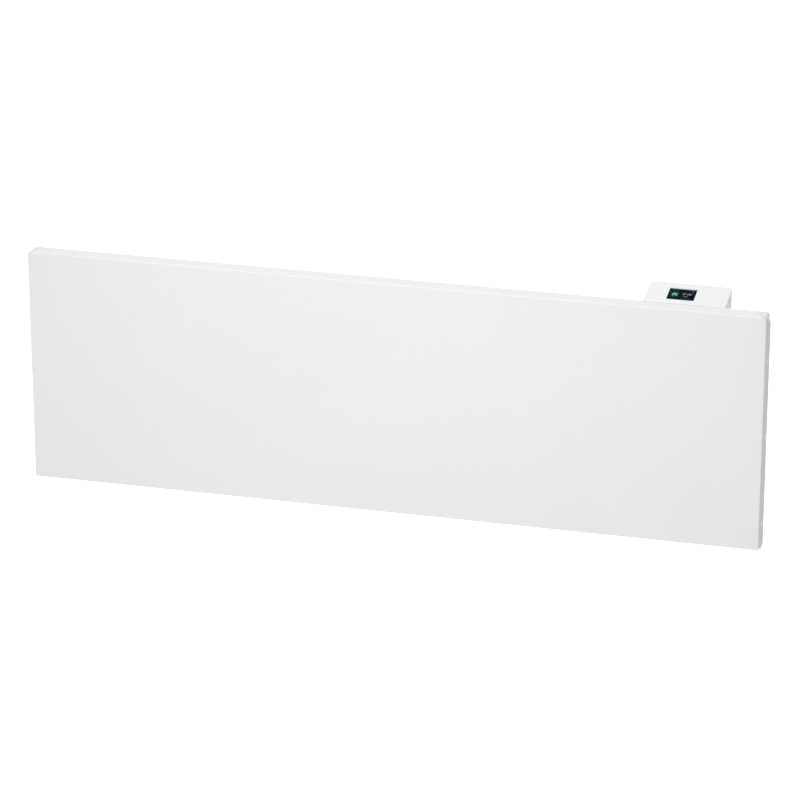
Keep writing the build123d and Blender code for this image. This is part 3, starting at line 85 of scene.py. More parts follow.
def power(name, description, default):
    """A lamp's power in watts."""
    return FloatProperty(
        name=name, description=description, default=default, min=0.0, unit="POWER"
    )


def number(name, description, default, least, most):
    """A whole number."""
    return IntProperty(name=name, description=description, default=default, min=least, max=most)


def colour(name, description, default):
    """A linear colour."""
    return FloatVectorProperty(
        name=name, description=description, default=default, size=3, min=0.0, max=1.0,
        subtype="COLOR",
    )


class HeaterPaint(PropertyGroup):
    face: colour("Face", "Powder coat of the front panel", (0.86, 0.855, 0.855))
    casing: colour("Casing", "Powder coat of the rear casing and the outlet", (0.83, 0.83, 0.84))
    gloss: share("Roughness", "Roughness of the powder coat", 0.58)
    peel_width: length("Peel width", "Distance between the waves of the orange peel", 0.0024)
    peel_depth: length("Peel depth", "Height of the orange peel", 0.000007)
    edge: length("Edge radius", "How far the paint rounds the sheet's edges", 0.0004)


class HeaterPlastic(PropertyGroup):
    cap: colour("Caps", "Corner caps", (0.80, 0.80, 0.80))
    control: colour("Control unit", "Its cover and housing", (0.855, 0.855, 0.86))
    dark: colour("Dark parts", "Switch, gland and clamp", (0.035, 0.035, 0.038))
    grain_width: length("Grain width", "Distance between the pits of the moulded grain", 0.0006)
    grain_depth: length("Grain depth", "Depth of the moulded grain", 0.000006)
    edge: length("Edge radius", "Rounding of moulded edges", 0.0004)


class HeaterMetal(PropertyGroup):
    zinc: colour("Zinc", "Galvanised bracket and lugs", (0.52, 0.53, 0.545))
    bright: colour("Bright zinc", "Screws, rivets and pins", (0.66, 0.67, 0.68))
    spring: colour("Spring", "Catch springs", (0.48, 0.49, 0.51))
    aluminium: colour("Aluminium", "Heating element's wings", (0.74, 0.75, 0.77))
    spangle: length("Spangle", "Width of the zinc's crystals", 0.0055)
    edge: length("Edge radius", "Rounding of sheared edges", 0.00025)


class HeaterDisplay(PropertyGroup):
    panel: colour("Panel", "Unlit display", (0.002, 0.005, 0.011))
    tile: colour("Left tile", "Ground of the left tile", (0.003, 0.030, 0.022))
    rim: colour("Left tile's frame", "Frame of the left tile", (0.012, 0.075, 0.052))
    pictogram: colour("Pictogram", "House sign in the left tile", (0.17, 0.50, 0.39))
    digits: colour("Digits", "Numbers in the right tile", (0.42, 0.50, 0.64))
    dim: colour("Right tile's frame", "Frame of the right tile", (0.020, 0.050, 0.085))
    dot: colour("Dot", "Status dot", (0.55, 0.60, 0.70))
    glow: strength("Glow", "Strength of the lit marks", 1.0, 5.0)
    reading: number("Reading", "Temperature shown, in tenths", 215, 0, 999)


class HeaterFasteners(PropertyGroup):
    recess_width: length("Recess width", "Width of a cross recess's wings", 0.0009)
    recess_reach: length("Recess reach", "Centre of the head to a wing's end", 0.0021)
    recess_depth: length("Recess depth", "Depth of the cross recess", 0.0006)
    thread_pitch: length("Thread pitch", "Pitch of the sheet screws' thread", 0.0013)
    dimple: length("Dimple", "Radius of a blind rivet's open middle", 0.0011)
    steps: number("Steps", "Corners round a turned piece", 48, 12, 96)
    flutes: number("Flutes", "Grip flutes round the gland's nut", 18, 6, 36)
    flute_depth: length("Flute depth", "Depth of the nut's flutes", 0.00045)


class HeaterStudio(PropertyGroup):
    floor_drop: length("Floor", "Floor below the origin", 1.2)
    floor_half: length("Floor reach", "Half the floor's side", 14.0, most=50.0)
    floor_glow: share("Floor's white", "White added to the floor where the camera sees it", 0.92)
    sky: strength("Sky", "Light from all round", 1.195, 3.0)
    sky_fall: share("Sky's fall", "How much dimmer the sky is to the sides than overhead", 0.95)
    top: power("Top", "Power of the lamp above", 14.0)
    front: power("Front", "Power of the front lamp", 7.2)
    rear: power("Rear", "Power of the lamp behind", 10.0)
    lens: FloatProperty(
        name="Lens", description="Focal length on a 36 mm sensor", default=177.83, unit="CAMERA"
    )


# -------------------- material graphs
class Graph:
    """Shader nodes of a material or of the world, made and joined in short calls."""

    def __init__(self, tree):
        self.tree = tree

    def set(self, socket, value):
        """Links a socket to another, or gives it a number or a colour."""
        if isinstance(value, bpy.types.NodeSocket):
            self.tree.links.new(value, socket)
        elif socket.type == "RGBA" and len(value) == 3:
            socket.default_value = (*value, 1.0)
        else:
            socket.default_value = value

    def node(self, kind, inputs=(), **settings):
        """Node with its inputs and settings given."""
        made = self.tree.nodes.new("ShaderNode" + kind)
        for key, value in settings.items():
            setattr(made, key, value)
        for key, value in dict(inputs).items():
            self.set(made.inputs[key], value)
        return made

    def maths(self, operation, first, second=0.0, third=0.0):
        """Result of one Math node."""
        made = self.node("Math", operation=operation)
        for socket, value in zip(made.inputs, (first, second, third)):
            self.set(socket, value)
        return made.outputs[0]

    def seen(self):
        """1 for the rays of the camera, of a reflection and through glass, otherwise 0."""
        path = self.node("LightPath").outputs
        direct = self.maths("MAXIMUM", path["Is Camera Ray"], path["Is Glossy Ray"])
        return self.maths("MAXIMUM", direct, path["Is Transmission Ray"])


class Finish(Graph):
    """A Principled material whose tone, roughness and relief are worked out on Object coordinates.

    tone = mix(dark, light, f), roughness = r0 + (r1 - r0) f, height = sum of noises; f is a noise,
    a cell or a wave of the point, after a Mapping node has scaled and turned the point.
    """

    def __init__(self, name, **sockets):
        self.material = bpy.data.materials.new(name)
        self.material.use_nodes = True
        super().__init__(self.material.node_tree)
        self.bsdf = self.tree.nodes["Principled BSDF"]
        self.points = self.node("TexCoord").outputs["Object"]
        for key, value in sockets.items():
            self.put(key.replace("_", " "), value)

    def put(self, key, value):
        """Sets or links one socket of the shader."""
        self.set(self.bsdf.inputs[key], value)

    def place(self, scale=(1, 1, 1), turn=(0, 0, 0)):
        """The point, scaled and turned."""
        inputs = {"Vector": self.points, "Scale": scale, "Rotation": turn}
        return self.node("Mapping", inputs).outputs["Vector"]

    def noise(self, width, detail=2.0, stretch=(1, 1, 1)):
        """Noise with waves about a width apart, drawn out along an axis by a stretch under 1."""
        inputs = {"Vector": self.place(stretch), "Scale": 1 / width, "Detail": detail}
        return self.node("TexNoise", inputs).outputs["Fac"]

    def cells(self, width, feature="F1", output="Distance"):
        """Voronoi cells about a width across."""
        inputs = {"Vector": self.place(), "Scale": 1 / width}
        return self.node("TexVoronoi", inputs, feature=feature).outputs[output]

    def wave(self, scale):
        """Straight waves along X."""
        inputs = {"Vector": self.points, "Scale": scale, "Distortion": 0.0}
        return self.node("TexWave", inputs).outputs["Fac"]

    def between(self, value, low, high, new_low=0.0, new_high=1.0):
        """Value carried from low..high to new_low..new_high, held at the ends."""
        inputs = {
            "Value": value, "From Min": low, "From Max": high, "To Min": new_low,
            "To Max": new_high,
        }
        return self.node("MapRange", inputs).outputs["Result"]

    def mix(self, amount, first, second, blend="MIX"):
        """Two colours mixed by an amount."""
        made = self.node("Mix", data_type="RGBA", blend_type=blend)
        for index, value in ((0, amount), (6, first), (7, second)):
            self.set(made.inputs[index], value)
        return made.outputs[2]

    def tone(self, *colours):
        """Base colour: one link, or mix()'s amount and two colours."""
        self.put("Base Color", self.mix(*colours) if len(colours) > 1 else colours[0])

    def worn(self, width, detail, low, high):
        """Roughness that goes from low to high with a noise, most of which lies in 0.3 to 0.7."""
        self.put("Roughness", self.between(self.noise(width, detail), 0.3, 0.7, low, high))

    def relief(self, *layers, edge=0.0):
        """Bump of (height, depth) layers, depth in metres, over edges rounded by a radius."""
        normal = None
        if edge > 0:
            normal = self.node("Bevel", {"Radius": edge}, samples=4).outputs["Normal"]
        for height, depth in layers:
            inputs = {"Height": height, "Distance": depth, "Strength": 1.0}
            if normal is not None:
                inputs["Normal"] = normal
            normal = self.node("Bump", inputs).outputs["Normal"]
        self.put("Normal", normal)


def shade(base, factor):
    """A colour times a factor, held between 0 and 1."""
    return tuple(min(1.0, max(0.0, value * factor)) for value in base)


def powder_coat(name, base, paint):
    """Satin powder coat: slow drift of tone, orange peel, and fine dust in the film."""
    f = Finish(name, Specular_IOR_Level=0.15)
    speck = f.between(f.noise(0.0011, 1.0), 0.70, 0.78)
    drift = f.mix(f.noise(0.16, 3.0), shade(base, 0.975), shade(base, 1.01))
    f.tone(f.maths("MULTIPLY", speck, 0.25), drift, shade(base, 0.90))
    f.worn(0.035, 4.0, paint.gloss - 0.05, paint.gloss + 0.05)
    peel, film = f.noise(paint.peel_width, 2.0), f.noise(0.0005, 2.0)
    f.relief((peel, paint.peel_depth), (film, paint.peel_depth / 6), edge=paint.edge)
    return f.material


def moulded(name, base, plastic, roughness=0.48, edge=None):
    """Moulded plastic: eroded grain, slow flow marks in tone and gloss."""
    f = Finish(name)
    f.tone(f.noise(0.03, 3.0, (1, 1, 0.35)), shade(base, 0.965), shade(base, 1.015))
    f.worn(0.012, 4.0, roughness - 0.05, roughness + 0.06)
    pits, skin = f.cells(plastic.grain_width, "SMOOTH_F1"), f.noise(plastic.grain_width / 2, 2.0)
    f.relief(
        (pits, plastic.grain_depth), (skin, plastic.grain_depth / 2),
        edge=plastic.edge if edge is None else edge,
    )
    return f.material


def galvanised(name, base, metal):
    """Hot-dip zinc: crystals of different brightness and gloss, feathered edges, dull spots."""
    f = Finish(name, Metallic=1.0)
    crystal = f.node("SeparateColor", {"Color": f.cells(metal.spangle, "F1", "Color")})
    feather = f.maths("MULTIPLY", f.noise(metal.spangle / 3, 4.0), 0.3)
    level = f.maths("ADD", f.maths("MULTIPLY", crystal.outputs[0], 0.7), feather)
    dull = f.maths("MULTIPLY", f.between(f.noise(0.045, 4.0), 0.52, 0.75), 0.45)
    f.tone(dull, f.mix(level, shade(base, 0.86), shade(base, 1.12)), shade(base, 0.78))
    f.put("Roughness", f.between(level, 0.0, 1.0, 0.52, 0.30))
    rim = f.between(f.cells(metal.spangle, "DISTANCE_TO_EDGE"), 0.0, 0.06)
    f.relief((rim, 0.000004), (f.noise(0.0012, 3.0), 0.000003), edge=metal.edge)
    return f.material


def bright_metal(name, base, edge, roughness=0.3, stretch=(0.03, 1, 1)):
    """Plated or drawn metal: fine lines along one axis, handling marks, a slow change of gloss."""
    f = Finish(name, Metallic=1.0)
    lines, cloud = f.noise(0.0004, 3.0, stretch), f.noise(0.011, 3.0)
    mean = f.maths("MULTIPLY_ADD", lines, 0.5, f.maths("MULTIPLY", cloud, 0.5))
    f.tone(mean, shade(base, 0.86), shade(base, 1.1))
    total = f.maths("ADD", lines, cloud)
    f.put("Roughness", f.between(total, 0.6, 1.4, roughness - 0.08, roughness + 0.12))
    f.relief((lines, 0.000003), edge=edge)
    return f.material


def soft_rubber(name, base):
    """Rubber: fine matt skin with a pale bloom in patches and a few moulding pits."""
    f = Finish(name, Specular_IOR_Level=0.35)
    pale = shade(tuple(value + 0.012 for value in base), 1.5)
    f.tone(f.between(f.noise(0.006, 4.0), 0.45, 0.75), base, pale)
    f.worn(0.002, 3.0, 0.68, 0.86)
    pits = f.between(f.cells(0.0015), 0.0, 0.25)
    f.relief((pits, 0.00001), (f.noise(0.0004, 2.0), 0.000012), edge=0.0003)
    return f.material


def insulated(name, base, stripe=None):
    """Silicone lead: talc-dulled skin, and a helical stripe where it has one."""
    f = Finish(name, Specular_IOR_Level=0.4)
    skin = f.mix(f.noise(0.004, 3.0), shade(base, 0.88), shade(base, 1.12))
    if stripe:
        skin = f.mix(f.between(f.wave(45.0), 0.62, 0.66), skin, stripe)
    f.tone(skin)
    f.worn(0.0015, 2.0, 0.42, 0.60)
    f.relief((f.noise(0.0007, 2.0), 0.00001))
    return f.material


def solder_mask(name):
    """Circuit board: green mask over copper runs that stand a little proud, with tinned pads."""
    f = Finish(name)
    upright = f.place(turn=(math.pi / 2, 0, 0))
    runs = f.node("TexBrick", {
        "Vector": upright, "Scale": 110.0, "Mortar Size": 0.035, "Brick Width": 0.9,
        "Row Height": 0.28,
    }).outputs["Fac"]
    pads = f.between(f.cells(0.0052), 0.20, 0.16)
    green = f.mix(runs, (0.012, 0.105, 0.045), (0.030, 0.20, 0.075))
    f.tone(pads, green, (0.55, 0.56, 0.55))
    f.put("Metallic", f.maths("MULTIPLY", pads, 0.9))
    f.worn(0.003, 2.0, 0.28, 0.42)
    f.relief((f.maths("MAXIMUM", runs, pads), 0.00003), edge=0.0002)
    return f.material


def gloss_body(name, base, roughness=0.25):
    """Moulded component body: glossy, with flow lines from its gate and small sink marks."""
    f = Finish(name)
    f.tone(f.noise(0.007, 3.0, (1, 0.4, 1)), shade(base, 0.85), shade(base, 1.15))
    f.worn(0.004, 3.0, roughness - 0.05, roughness + 0.1)
    f.relief((f.noise(0.008, 1.0), 0.00003), (f.noise(0.0008, 2.0), 0.000004), edge=0.0004)
    return f.material


def heat_tinted(name):
    """Steel tube that turns from dark oxide through blue and straw to bare at its cold ends."""
    f = Finish(name, Metallic=1.0)
    reach = f.maths("ABSOLUTE", f.node("SeparateXYZ", {"Vector": f.points}).outputs["X"])
    wander = f.maths("MULTIPLY", f.noise(0.02, 3.0), 0.03)
    ramp = f.node("ValToRGB", {"Fac": f.between(f.maths("ADD", reach, wander), 0.40, 0.47)})
    stops = ramp.color_ramp.elements
    stops[0].color, stops[1].color = (0.16, 0.13, 0.12, 1), (0.50, 0.49, 0.47, 1)
    for spot, tint in ((0.35, (0.13, 0.15, 0.28, 1)), (0.6, (0.45, 0.30, 0.14, 1))):
        stops.new(spot).color = tint
    f.tone(ramp.outputs["Color"])
    f.worn(0.004, 4.0, 0.38, 0.62)
    f.relief((f.noise(0.0009, 3.0), 0.000008))
    return f.material


def flat_cable(name):
    """Ribbon cable: a rib over each wire."""
    f = Finish(name)
    ribs = f.wave(250.0)
    f.tone(ribs, (0.40, 0.40, 0.41), (0.60, 0.60, 0.61))
    f.worn(0.004, 2.0, 0.45, 0.6)
    f.relief((ribs, 0.0001))
    return f.material


def clear_window(name):
    """Display's window: clear, cool, and hardly brighter in its reflections than air."""
    f = Finish(
        name, Transmission_Weight=1.0, IOR=1.05, Specular_IOR_Level=0.0,
        Base_Color=(0.80, 0.86, 0.92),
    )
    f.put("Roughness", f.between(f.noise(0.006, 4.0), 0.4, 0.8, 0.015, 0.06))
    f.relief((f.noise(0.02, 1.0), 0.000002), edge=0.0002)
    return f.material


def unlit_panel(name, base):
    """Display panel where no mark is lit."""
    f = Finish(name, Specular_IOR_Level=0.0)
    f.tone(f.noise(0.012, 2.0), shade(base, 0.7), shade(base, 1.4))
    f.worn(0.003, 3.0, 0.25, 0.35)
    return f.material


def lit(name, base, glow, place):
    """Lit display mark: colour and glow cut into the display's pixels, 0.2 mm apart."""
    pixels_per_metre = 5000.0
    f = Finish(name, Roughness=0.4, Specular_IOR_Level=0.0)
    grid = f.node("TexBrick", {
        "Vector": f.place(turn=tuple(-a for a in place.to_euler())), "Scale": pixels_per_metre,
        "Mortar Size": 0.06, "Brick Width": 1.0, "Row Height": 1.0, "Mortar Smooth": 0.3,
        "Color1": WHITE, "Color2": (0.93, 0.93, 0.93), "Mortar": (0.55, 0.55, 0.55),
    }, offset=0.0).outputs["Color"]
    tint = f.mix(1.0, grid, base, "MULTIPLY")
    f.tone(0.85, tint, (0.0, 0.0, 0.0))
    f.put("Emission Color", tint)
    f.put("Emission Strength", glow)
    return f.material


def put_on(material, *nodes):
    """Gives CAD nodes one finish."""
    for name in nodes:
        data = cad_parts[name].data
        data.materials.clear()
        data.materials.append(material)


def both(stem):
    """Names of a left and right pair of nodes."""
    return [f"{stem}_{side}" for side in SIDES]


# -------------------- meshes worked out as whole arrays
def linked(name, data):
    """Object of a mesh, lamp or camera in the scene."""
    made = bpy.data.objects.new(name, data)
    bpy.context.scene.collection.objects.link(made)
    return made


def write_piece(name, points, faces, material, body, sharp=35.0):
    """Mesh object from an (n, 3) array of points and face index arrays, outward faces."""
    mesh = bpy.data.meshes.new(name)
    mesh.from_pydata(points.tolist(), [], [face for block in faces for face in block.tolist()])
    mesh.update()
    mesh.polygons.foreach_set("use_smooth", np.ones(len(mesh.polygons), bool))
    mesh.set_sharp_from_angle(angle=math.radians(sharp))
    mesh.materials.append(material)
    piece = linked(name, mesh)
    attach(piece, body)
    return piece


def copies(parts):
    """Many (points, face arrays) parts as one set of arrays, each with its indices moved on."""
    points, faces, count = [], [], 0
    for part, *blocks in parts:
        points.append(part)
        faces += [block + count for block in blocks]
        count += len(part)
    return np.concatenate(points), faces


def laid(points, place):
    """Points about the origin carried to a place."""
    return points @ np.array(place.to_3x3()).T + np.array(place.translation)


def aimed(points, centre, direction):
    """Points about +Z turned so that +Z looks along a direction, then moved to a centre."""
    turn = np.array(Vector(direction).to_track_quat("Z", "Y").to_matrix())
    return points @ turn.T + np.array(centre)


def around(steps):
    """Angles t_j = 2 pi j / steps."""
    return 2 * np.pi * np.arange(steps) / steps


def wound(radius, height, steps):
    """(rings, steps, 3) grid of points (r_ij cos t_j, r_ij sin t_j, h_ij) about +Z.

    Radius and height are (rings,) or (rings, steps) arrays.
    """
    radius, height = (np.asarray(a, float) for a in (radius, height))
    radius, height = (
        a if a.ndim == 2 else np.repeat(a[:, None], steps, 1) for a in (radius, height)
    )
    t = around(steps)
    return np.stack([radius * np.cos(t), radius * np.sin(t), height], -1)


def bands(rings, steps, closed=False):
    """Quads (i, j), (i, j + 1), (i + 1, j + 1), (i + 1, j) between rings that close on themselves.

    In a closed profile the last ring joins the first too.
    """
    i, j = np.meshgrid(np.arange(rings if closed else rings - 1), np.arange(steps), indexing="ij")
    low, high, after = i * steps, (i + 1) % rings * steps, (j + 1) % steps
    return np.stack([low + j, low + after, high + after, high + j], -1).reshape(-1, 4)


def turned(radius, height, steps):
    """Closed turned surface as (points, quads, fans), from its bottom pole to its top one.

    The grid is wound()'s, and its first and last rings close on one point each.
    """
    grid = wound(radius, height, steps)
    rings, k = len(grid), np.arange(steps)
    poles = np.array([[0, 0, grid[0, :, 2].mean()], [0, 0, grid[-1, :, 2].mean()]])
    after, top, low = (k + 1) % steps, (rings - 1) * steps, rings * steps
    fans = np.concatenate([
        np.stack([np.full(steps, low), after, k], -1),
        np.stack([np.full(steps, low + 1), top + k, top + after], -1),
    ])
    return np.concatenate([grid.reshape(-1, 3), poles]), bands(rings, steps), fans


def smooth_step(value):
    """3 v^2 - 2 v^3, with v held between 0 and 1."""
    value = np.clip(value, 0, 1)
    return value * value * (3 - 2 * value)


def cross_screw(fasteners, head_radius, head_height, shank_radius, shank_length):
    """Low-head sheet screw about +Z, tip at the bottom.

    Head: h = H (1 - 0.3 (r / R)^2) - D c(x, y), where c is 1 in the two wings of the cross and
    falls to 0 over a tenth of a millimetre. Shank: r = R0 + P tri(z / pitch - t / 2 pi), a helical
    ridge, thinner towards the tip.
    """
    shank_rings, tip_length, tip_share, ridge_share, ridge_slope = 44, 1.6 * MM, 0.35, 0.20, 2.6
    head_rings, head_edge, head_middle, dish, under_height = 26, 0.97, 0.02, 0.30, 0.12 * MM
    undercut, soft, gap, deepest = 0.25 * MM, 0.12 * MM, 0.05 * MM, 0.85
    steps = fasteners.steps
    t = around(steps)
    z = np.linspace(-shank_length, -gap, shank_rings)
    taper = tip_share + (1 - tip_share) * smooth_step((z - z[0]) / tip_length)
    turn = z[:, None] / fasteners.thread_pitch - t / (2 * np.pi)
    ridge = np.clip(1 - ridge_slope * np.abs((turn % 1) - 0.5), 0, 1)
    shank = shank_radius * taper[:, None] * (1 - ridge_share + ridge_share * ridge)
    under = np.full((2, steps), head_radius)
    under[0] -= undercut
    r = head_radius * np.linspace(head_edge, head_middle, head_rings)
    x, y = (r[:, None] * wave for wave in (np.cos(t), np.sin(t)))

    def wing(a, b):
        """1 in one wing of the cross, along b."""
        across = smooth_step((fasteners.recess_width / 2 - np.abs(a)) / soft + 0.5)
        return across * smooth_step((fasteners.recess_reach - np.abs(b)) / soft + 0.5)

    depth = np.minimum(fasteners.recess_depth, deepest * head_height)
    crown = head_height * (1 - dish * (r / head_radius) ** 2)
    top = crown[:, None] - depth * np.maximum(wing(x, y), wing(y, x))
    radius = np.concatenate([shank, under, np.repeat(r[:, None], steps, 1)])
    flange = np.array([[0.0], [under_height]]) + np.zeros((2, steps))
    height = np.concatenate([np.repeat(z[:, None], steps, 1), flange, top])
    return turned(radius, height, steps)


def blind_rivet(fasteners, half_grip, radius, shank, head):
    """Blind rivet about +Z through sheets from -g to g: domed flange with its open middle above,
    rolled bulb below. Both are arcs, r = R cos a and h = H sin a, cut by the mandrel's bore."""
    bore, rim_share, bulb_share = fasteners.dimple, 0.12, 0.92
    bend = np.linspace(0, np.pi / 2, 7)
    dome_r = bore + (radius - bore) * np.cos(bend)
    dome_h = half_grip + head * (rim_share + (1 - rim_share) * np.sin(bend))
    well_r = bore * np.array([0.92, 0.88, 0.5, 0.1])
    well_h = half_grip + head * np.array([0.86, 0.30, 0.22, 0.24])
    roll = np.linspace(-np.pi / 2, np.pi / 2, 9)
    bulb_r = shank + (radius * bulb_share - shank) * np.cos(roll)
    bulb_h = -half_grip - head / 2 + head / 2 * np.sin(roll)
    tip_r, tip_h = shank * np.array([0.15, 0.7]), np.full(2, -half_grip - head)
    radii = np.concatenate([tip_r, bulb_r, [shank, radius], dome_r, well_r])
    heights = np.concatenate([tip_h, bulb_h, [half_grip, half_grip], dome_h, well_h])
    return turned(radii, heights, max(24, fasteners.steps // 2))


def fluted_nut(fasteners, reach, tall, bore, thread):
    """Domed cap nut about +Z from 0 to its height: r = R - D sin^2(n t / 2) on the collar, where n
    is the number of flutes, and a quarter ellipse on the dome under it; the bore opens into the
    thread. The profile runs up the outside and down the inside."""
    collar_low, rim = 0.42 * tall, 0.3 * MM
    lip, shoulder, dome_share = bore + 0.9 * MM, 0.89 * reach, 0.92
    bend = np.linspace(0, np.pi / 2, 7)
    dome_r = lip + (shoulder - lip) * np.sin(bend)
    dome_h = dome_share * collar_low * (1 - np.cos(bend))
    collar_r = np.array([reach - rim, reach, reach, reach - rim])
    collar_h = np.array([collar_low, collar_low + rim, tall - rim, tall])
    well_r = np.array([thread, thread, bore, bore])
    well_h = np.array([tall, tall / 3, tall / 3, rim])
    radius = np.concatenate([dome_r, collar_r, well_r])
    cut = np.zeros(len(radius))
    cut[len(dome_r):len(dome_r) + len(collar_r)] = fasteners.flute_depth
    steps = 8 * fasteners.flutes
    flutes = np.sin(fasteners.flutes * around(steps) / 2) ** 2
    height = np.concatenate([dome_h, collar_h, well_h])
    grid = wound(radius[:, None] - cut[:, None] * flutes, height, steps)
    return grid.reshape(-1, 3), bands(len(grid), steps, closed=True)


def plate(outline, low, high):
    """Prism of a flat outline given anticlockwise, between two heights: (points, sides, caps)."""
    count = len(outline)
    k = np.arange(count)
    points = np.concatenate([
        np.column_stack([outline, np.full(count, level)]) for level in (low, high)
    ])
    return points, bands(2, count), k[::-1][None, :], (count + k)[None, :]


def round_box(centre, half, corner, steps=6):
    """Rounded rectangle: four quarter arcs joined by straight sides."""
    quarter = np.linspace(0, np.pi / 2, steps)
    parts = []
    for turn, (sx, sy) in enumerate(((1, 1), (-1, 1), (-1, -1), (1, -1))):
        angle = quarter + turn * np.pi / 2
        parts.append(np.column_stack([
            centre[0] + sx * (half[0] - corner) + corner * np.cos(angle),
            centre[1] + sy * (half[1] - corner) + corner * np.sin(angle),
        ]))
    return np.concatenate(parts)


def ring_plate(centre, half, corner, wall, low, high):
    """Frame between two rounded rectangles, a wall apart, as a closed band."""
    outer = round_box(centre, half, corner)
    inner = round_box(centre, (half[0] - wall, half[1] - wall), max(corner - wall, 0.01 * MM))
    count = len(outer)
    points = np.concatenate([
        np.column_stack([line, np.full(count, level)])
        for line, level in ((outer, low), (outer, high), (inner, high), (inner, low))
    ])
    return points, bands(4, count, closed=True)


SEGMENTS = {
    "0": "abcdef", "1": "bc", "2": "abged", "3": "abgcd", "4": "fgbc", "5": "afgcd",
    "6": "afgedc", "7": "abc", "8": "abcdefg", "9": "abcdfg",
}


def digit_plates(text, corner, width, height, bar, gap, low, high):
    """Seven-bar digits and a point from a lower left corner on: each bar is a rounded plate, with
    its middle at shares (u, v) of the digit's width and height."""
    flat, upright = (width / 2, bar / 2), (bar / 2, height / 4)
    bars = {
        letter: ((u * width, v * height), flat if u == 0.5 else upright)
        for letter, u, v in (
            ("a", 0.5, 1), ("g", 0.5, 0.5), ("d", 0.5, 0), ("f", 0, 0.75), ("e", 0, 0.25),
            ("b", 1, 0.75), ("c", 1, 0.25),
        )
    }
    parts, (x, base) = [], corner
    for sign in text:
        if sign == ".":
            dot = round_box((x, base), (bar * 0.55, bar * 0.55), bar * 0.4, 4)
            parts.append(plate(dot, low, high))
            x += gap
            continue
        for letter in SEGMENTS[sign]:
            (along, above), half = bars[letter]
            outline = round_box((x + along, base + above), half, min(half) * 0.6, 3)
            parts.append(plate(outline, low, high))
        x += width + gap
    return parts


# -------------------- places read from the CAD nodes
def solids_of(node):
    """(lowest, highest) corner of each separate solid in a CAD node."""
    work = bmesh.new()
    work.from_mesh(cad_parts[node].data)
    bmesh.ops.remove_doubles(work, verts=work.verts, dist=0.001 * MM)
    seen, boxes = set(), []
    for start in work.verts:
        if start in seen:
            continue
        island, stack = [], [start]
        seen.add(start)
        while stack:
            vertex = stack.pop()
            island.append(vertex.co[:])
            near = {edge.other_vert(vertex) for edge in vertex.link_edges} - seen
            seen |= near
            stack += near
        corners = np.array(island)
        boxes.append((corners.min(0), corners.max(0)))
    work.free()
    return boxes


def set_up(right, up, out, origin):
    """4x4 from three directions and an origin."""
    place = Matrix(np.column_stack([right, up, out]).tolist()).to_4x4()
    place.translation = Vector(origin)
    return place


def window_place():
    """4x4 of the display window: origin in the middle of its upper face, X right, Y up the slope,
    Z out of it; and its width, height and thickness."""
    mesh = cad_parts["display_window"].data
    points = np.empty(len(mesh.vertices) * 3, np.float32)
    mesh.vertices.foreach_get("co", points)
    normals = np.array([p.normal[:] for p in mesh.polygons])
    out = normals[normals[:, 2].argmax()]
    out /= np.linalg.norm(out)
    right = np.array([1.0, 0.0, 0.0])
    axes = np.array([right, np.cross(out, right), out])
    local = points.reshape(-1, 3).astype(float) @ axes.T
    low, high = local.min(0), local.max(0)
    middle = np.array([(low[0] + high[0]) / 2, (low[1] + high[1]) / 2, high[2]])
    return set_up(*axes, middle @ axes), high - low


def rocker_faces():
    """4x4 of the rocker's upper and lower face: origin in its middle, X across, Y up, Z out."""
    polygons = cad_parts["power_rocker"].data.polygons
    normals, middles = (
        np.array([getattr(p, key)[:] for p in polygons]) for key in ("normal", "center")
    )
    areas = np.array([p.area for p in polygons])
    low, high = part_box("power_rocker")
    across, places = np.array([0.0, 1.0, 0.0]), []
    looks_out, same_plane = 0.9, 0.99999   # least cosine between normals
    for side in (1, -1):
        above = side * (middles[:, 2] - (low.z + high.z) / 2) > 0
        mine = np.where((normals[:, 0] > looks_out) & above, areas, 0.0)
        out = normals[mine.argmax()]
        mine = mine * (normals @ out > same_plane)
        origin = (middles * mine[:, None]).sum(0) / mine.sum()
        places.append(set_up(across, np.cross(out, across), out, origin))
    return places


# -------------------- operators
class HEATER_OT_front_panel(Operator):
    """Powder coat of the folded front panel"""

    bl_idname = "heater.front_panel"
    bl_label = "Front panel"

    def execute(self, context):
        paint = context.scene.heater_paint
        put_on(powder_coat("white_powder_coat", paint.face, paint), "front_panel")
        return {"FINISHED"}


class HEATER_OT_corner_caps(Operator):
    """Satin plastic of the two corner caps"""

    bl_idname = "heater.corner_caps"
    bl_label = "Corner caps"

    def execute(self, context):
        plastic = context.scene.heater_plastic
        put_on(moulded("cap_plastic", plastic.cap, plastic), *both("corner_cap"))
        return {"FINISHED"}


class HEATER_OT_rear_casing(Operator):
    """Powder coat of the rear casing and its outlet, and the moulded intake grille"""

    bl_idname = "heater.rear_casing"
    bl_label = "Rear casing and grilles"

    def execute(self, context):
        paint, plastic = context.scene.heater_paint, context.scene.heater_plastic
        put_on(powder_coat("casing_powder_coat", paint.casing, paint), "rear_casing")
        outlet = powder_coat("outlet_powder_coat", shade(paint.casing, 0.99), paint)
        put_on(outlet, "outlet_grille")
        put_on(moulded("intake_plastic", shade(paint.casing, 0.97), plastic), "intake_grille")
        return {"FINISHED"}


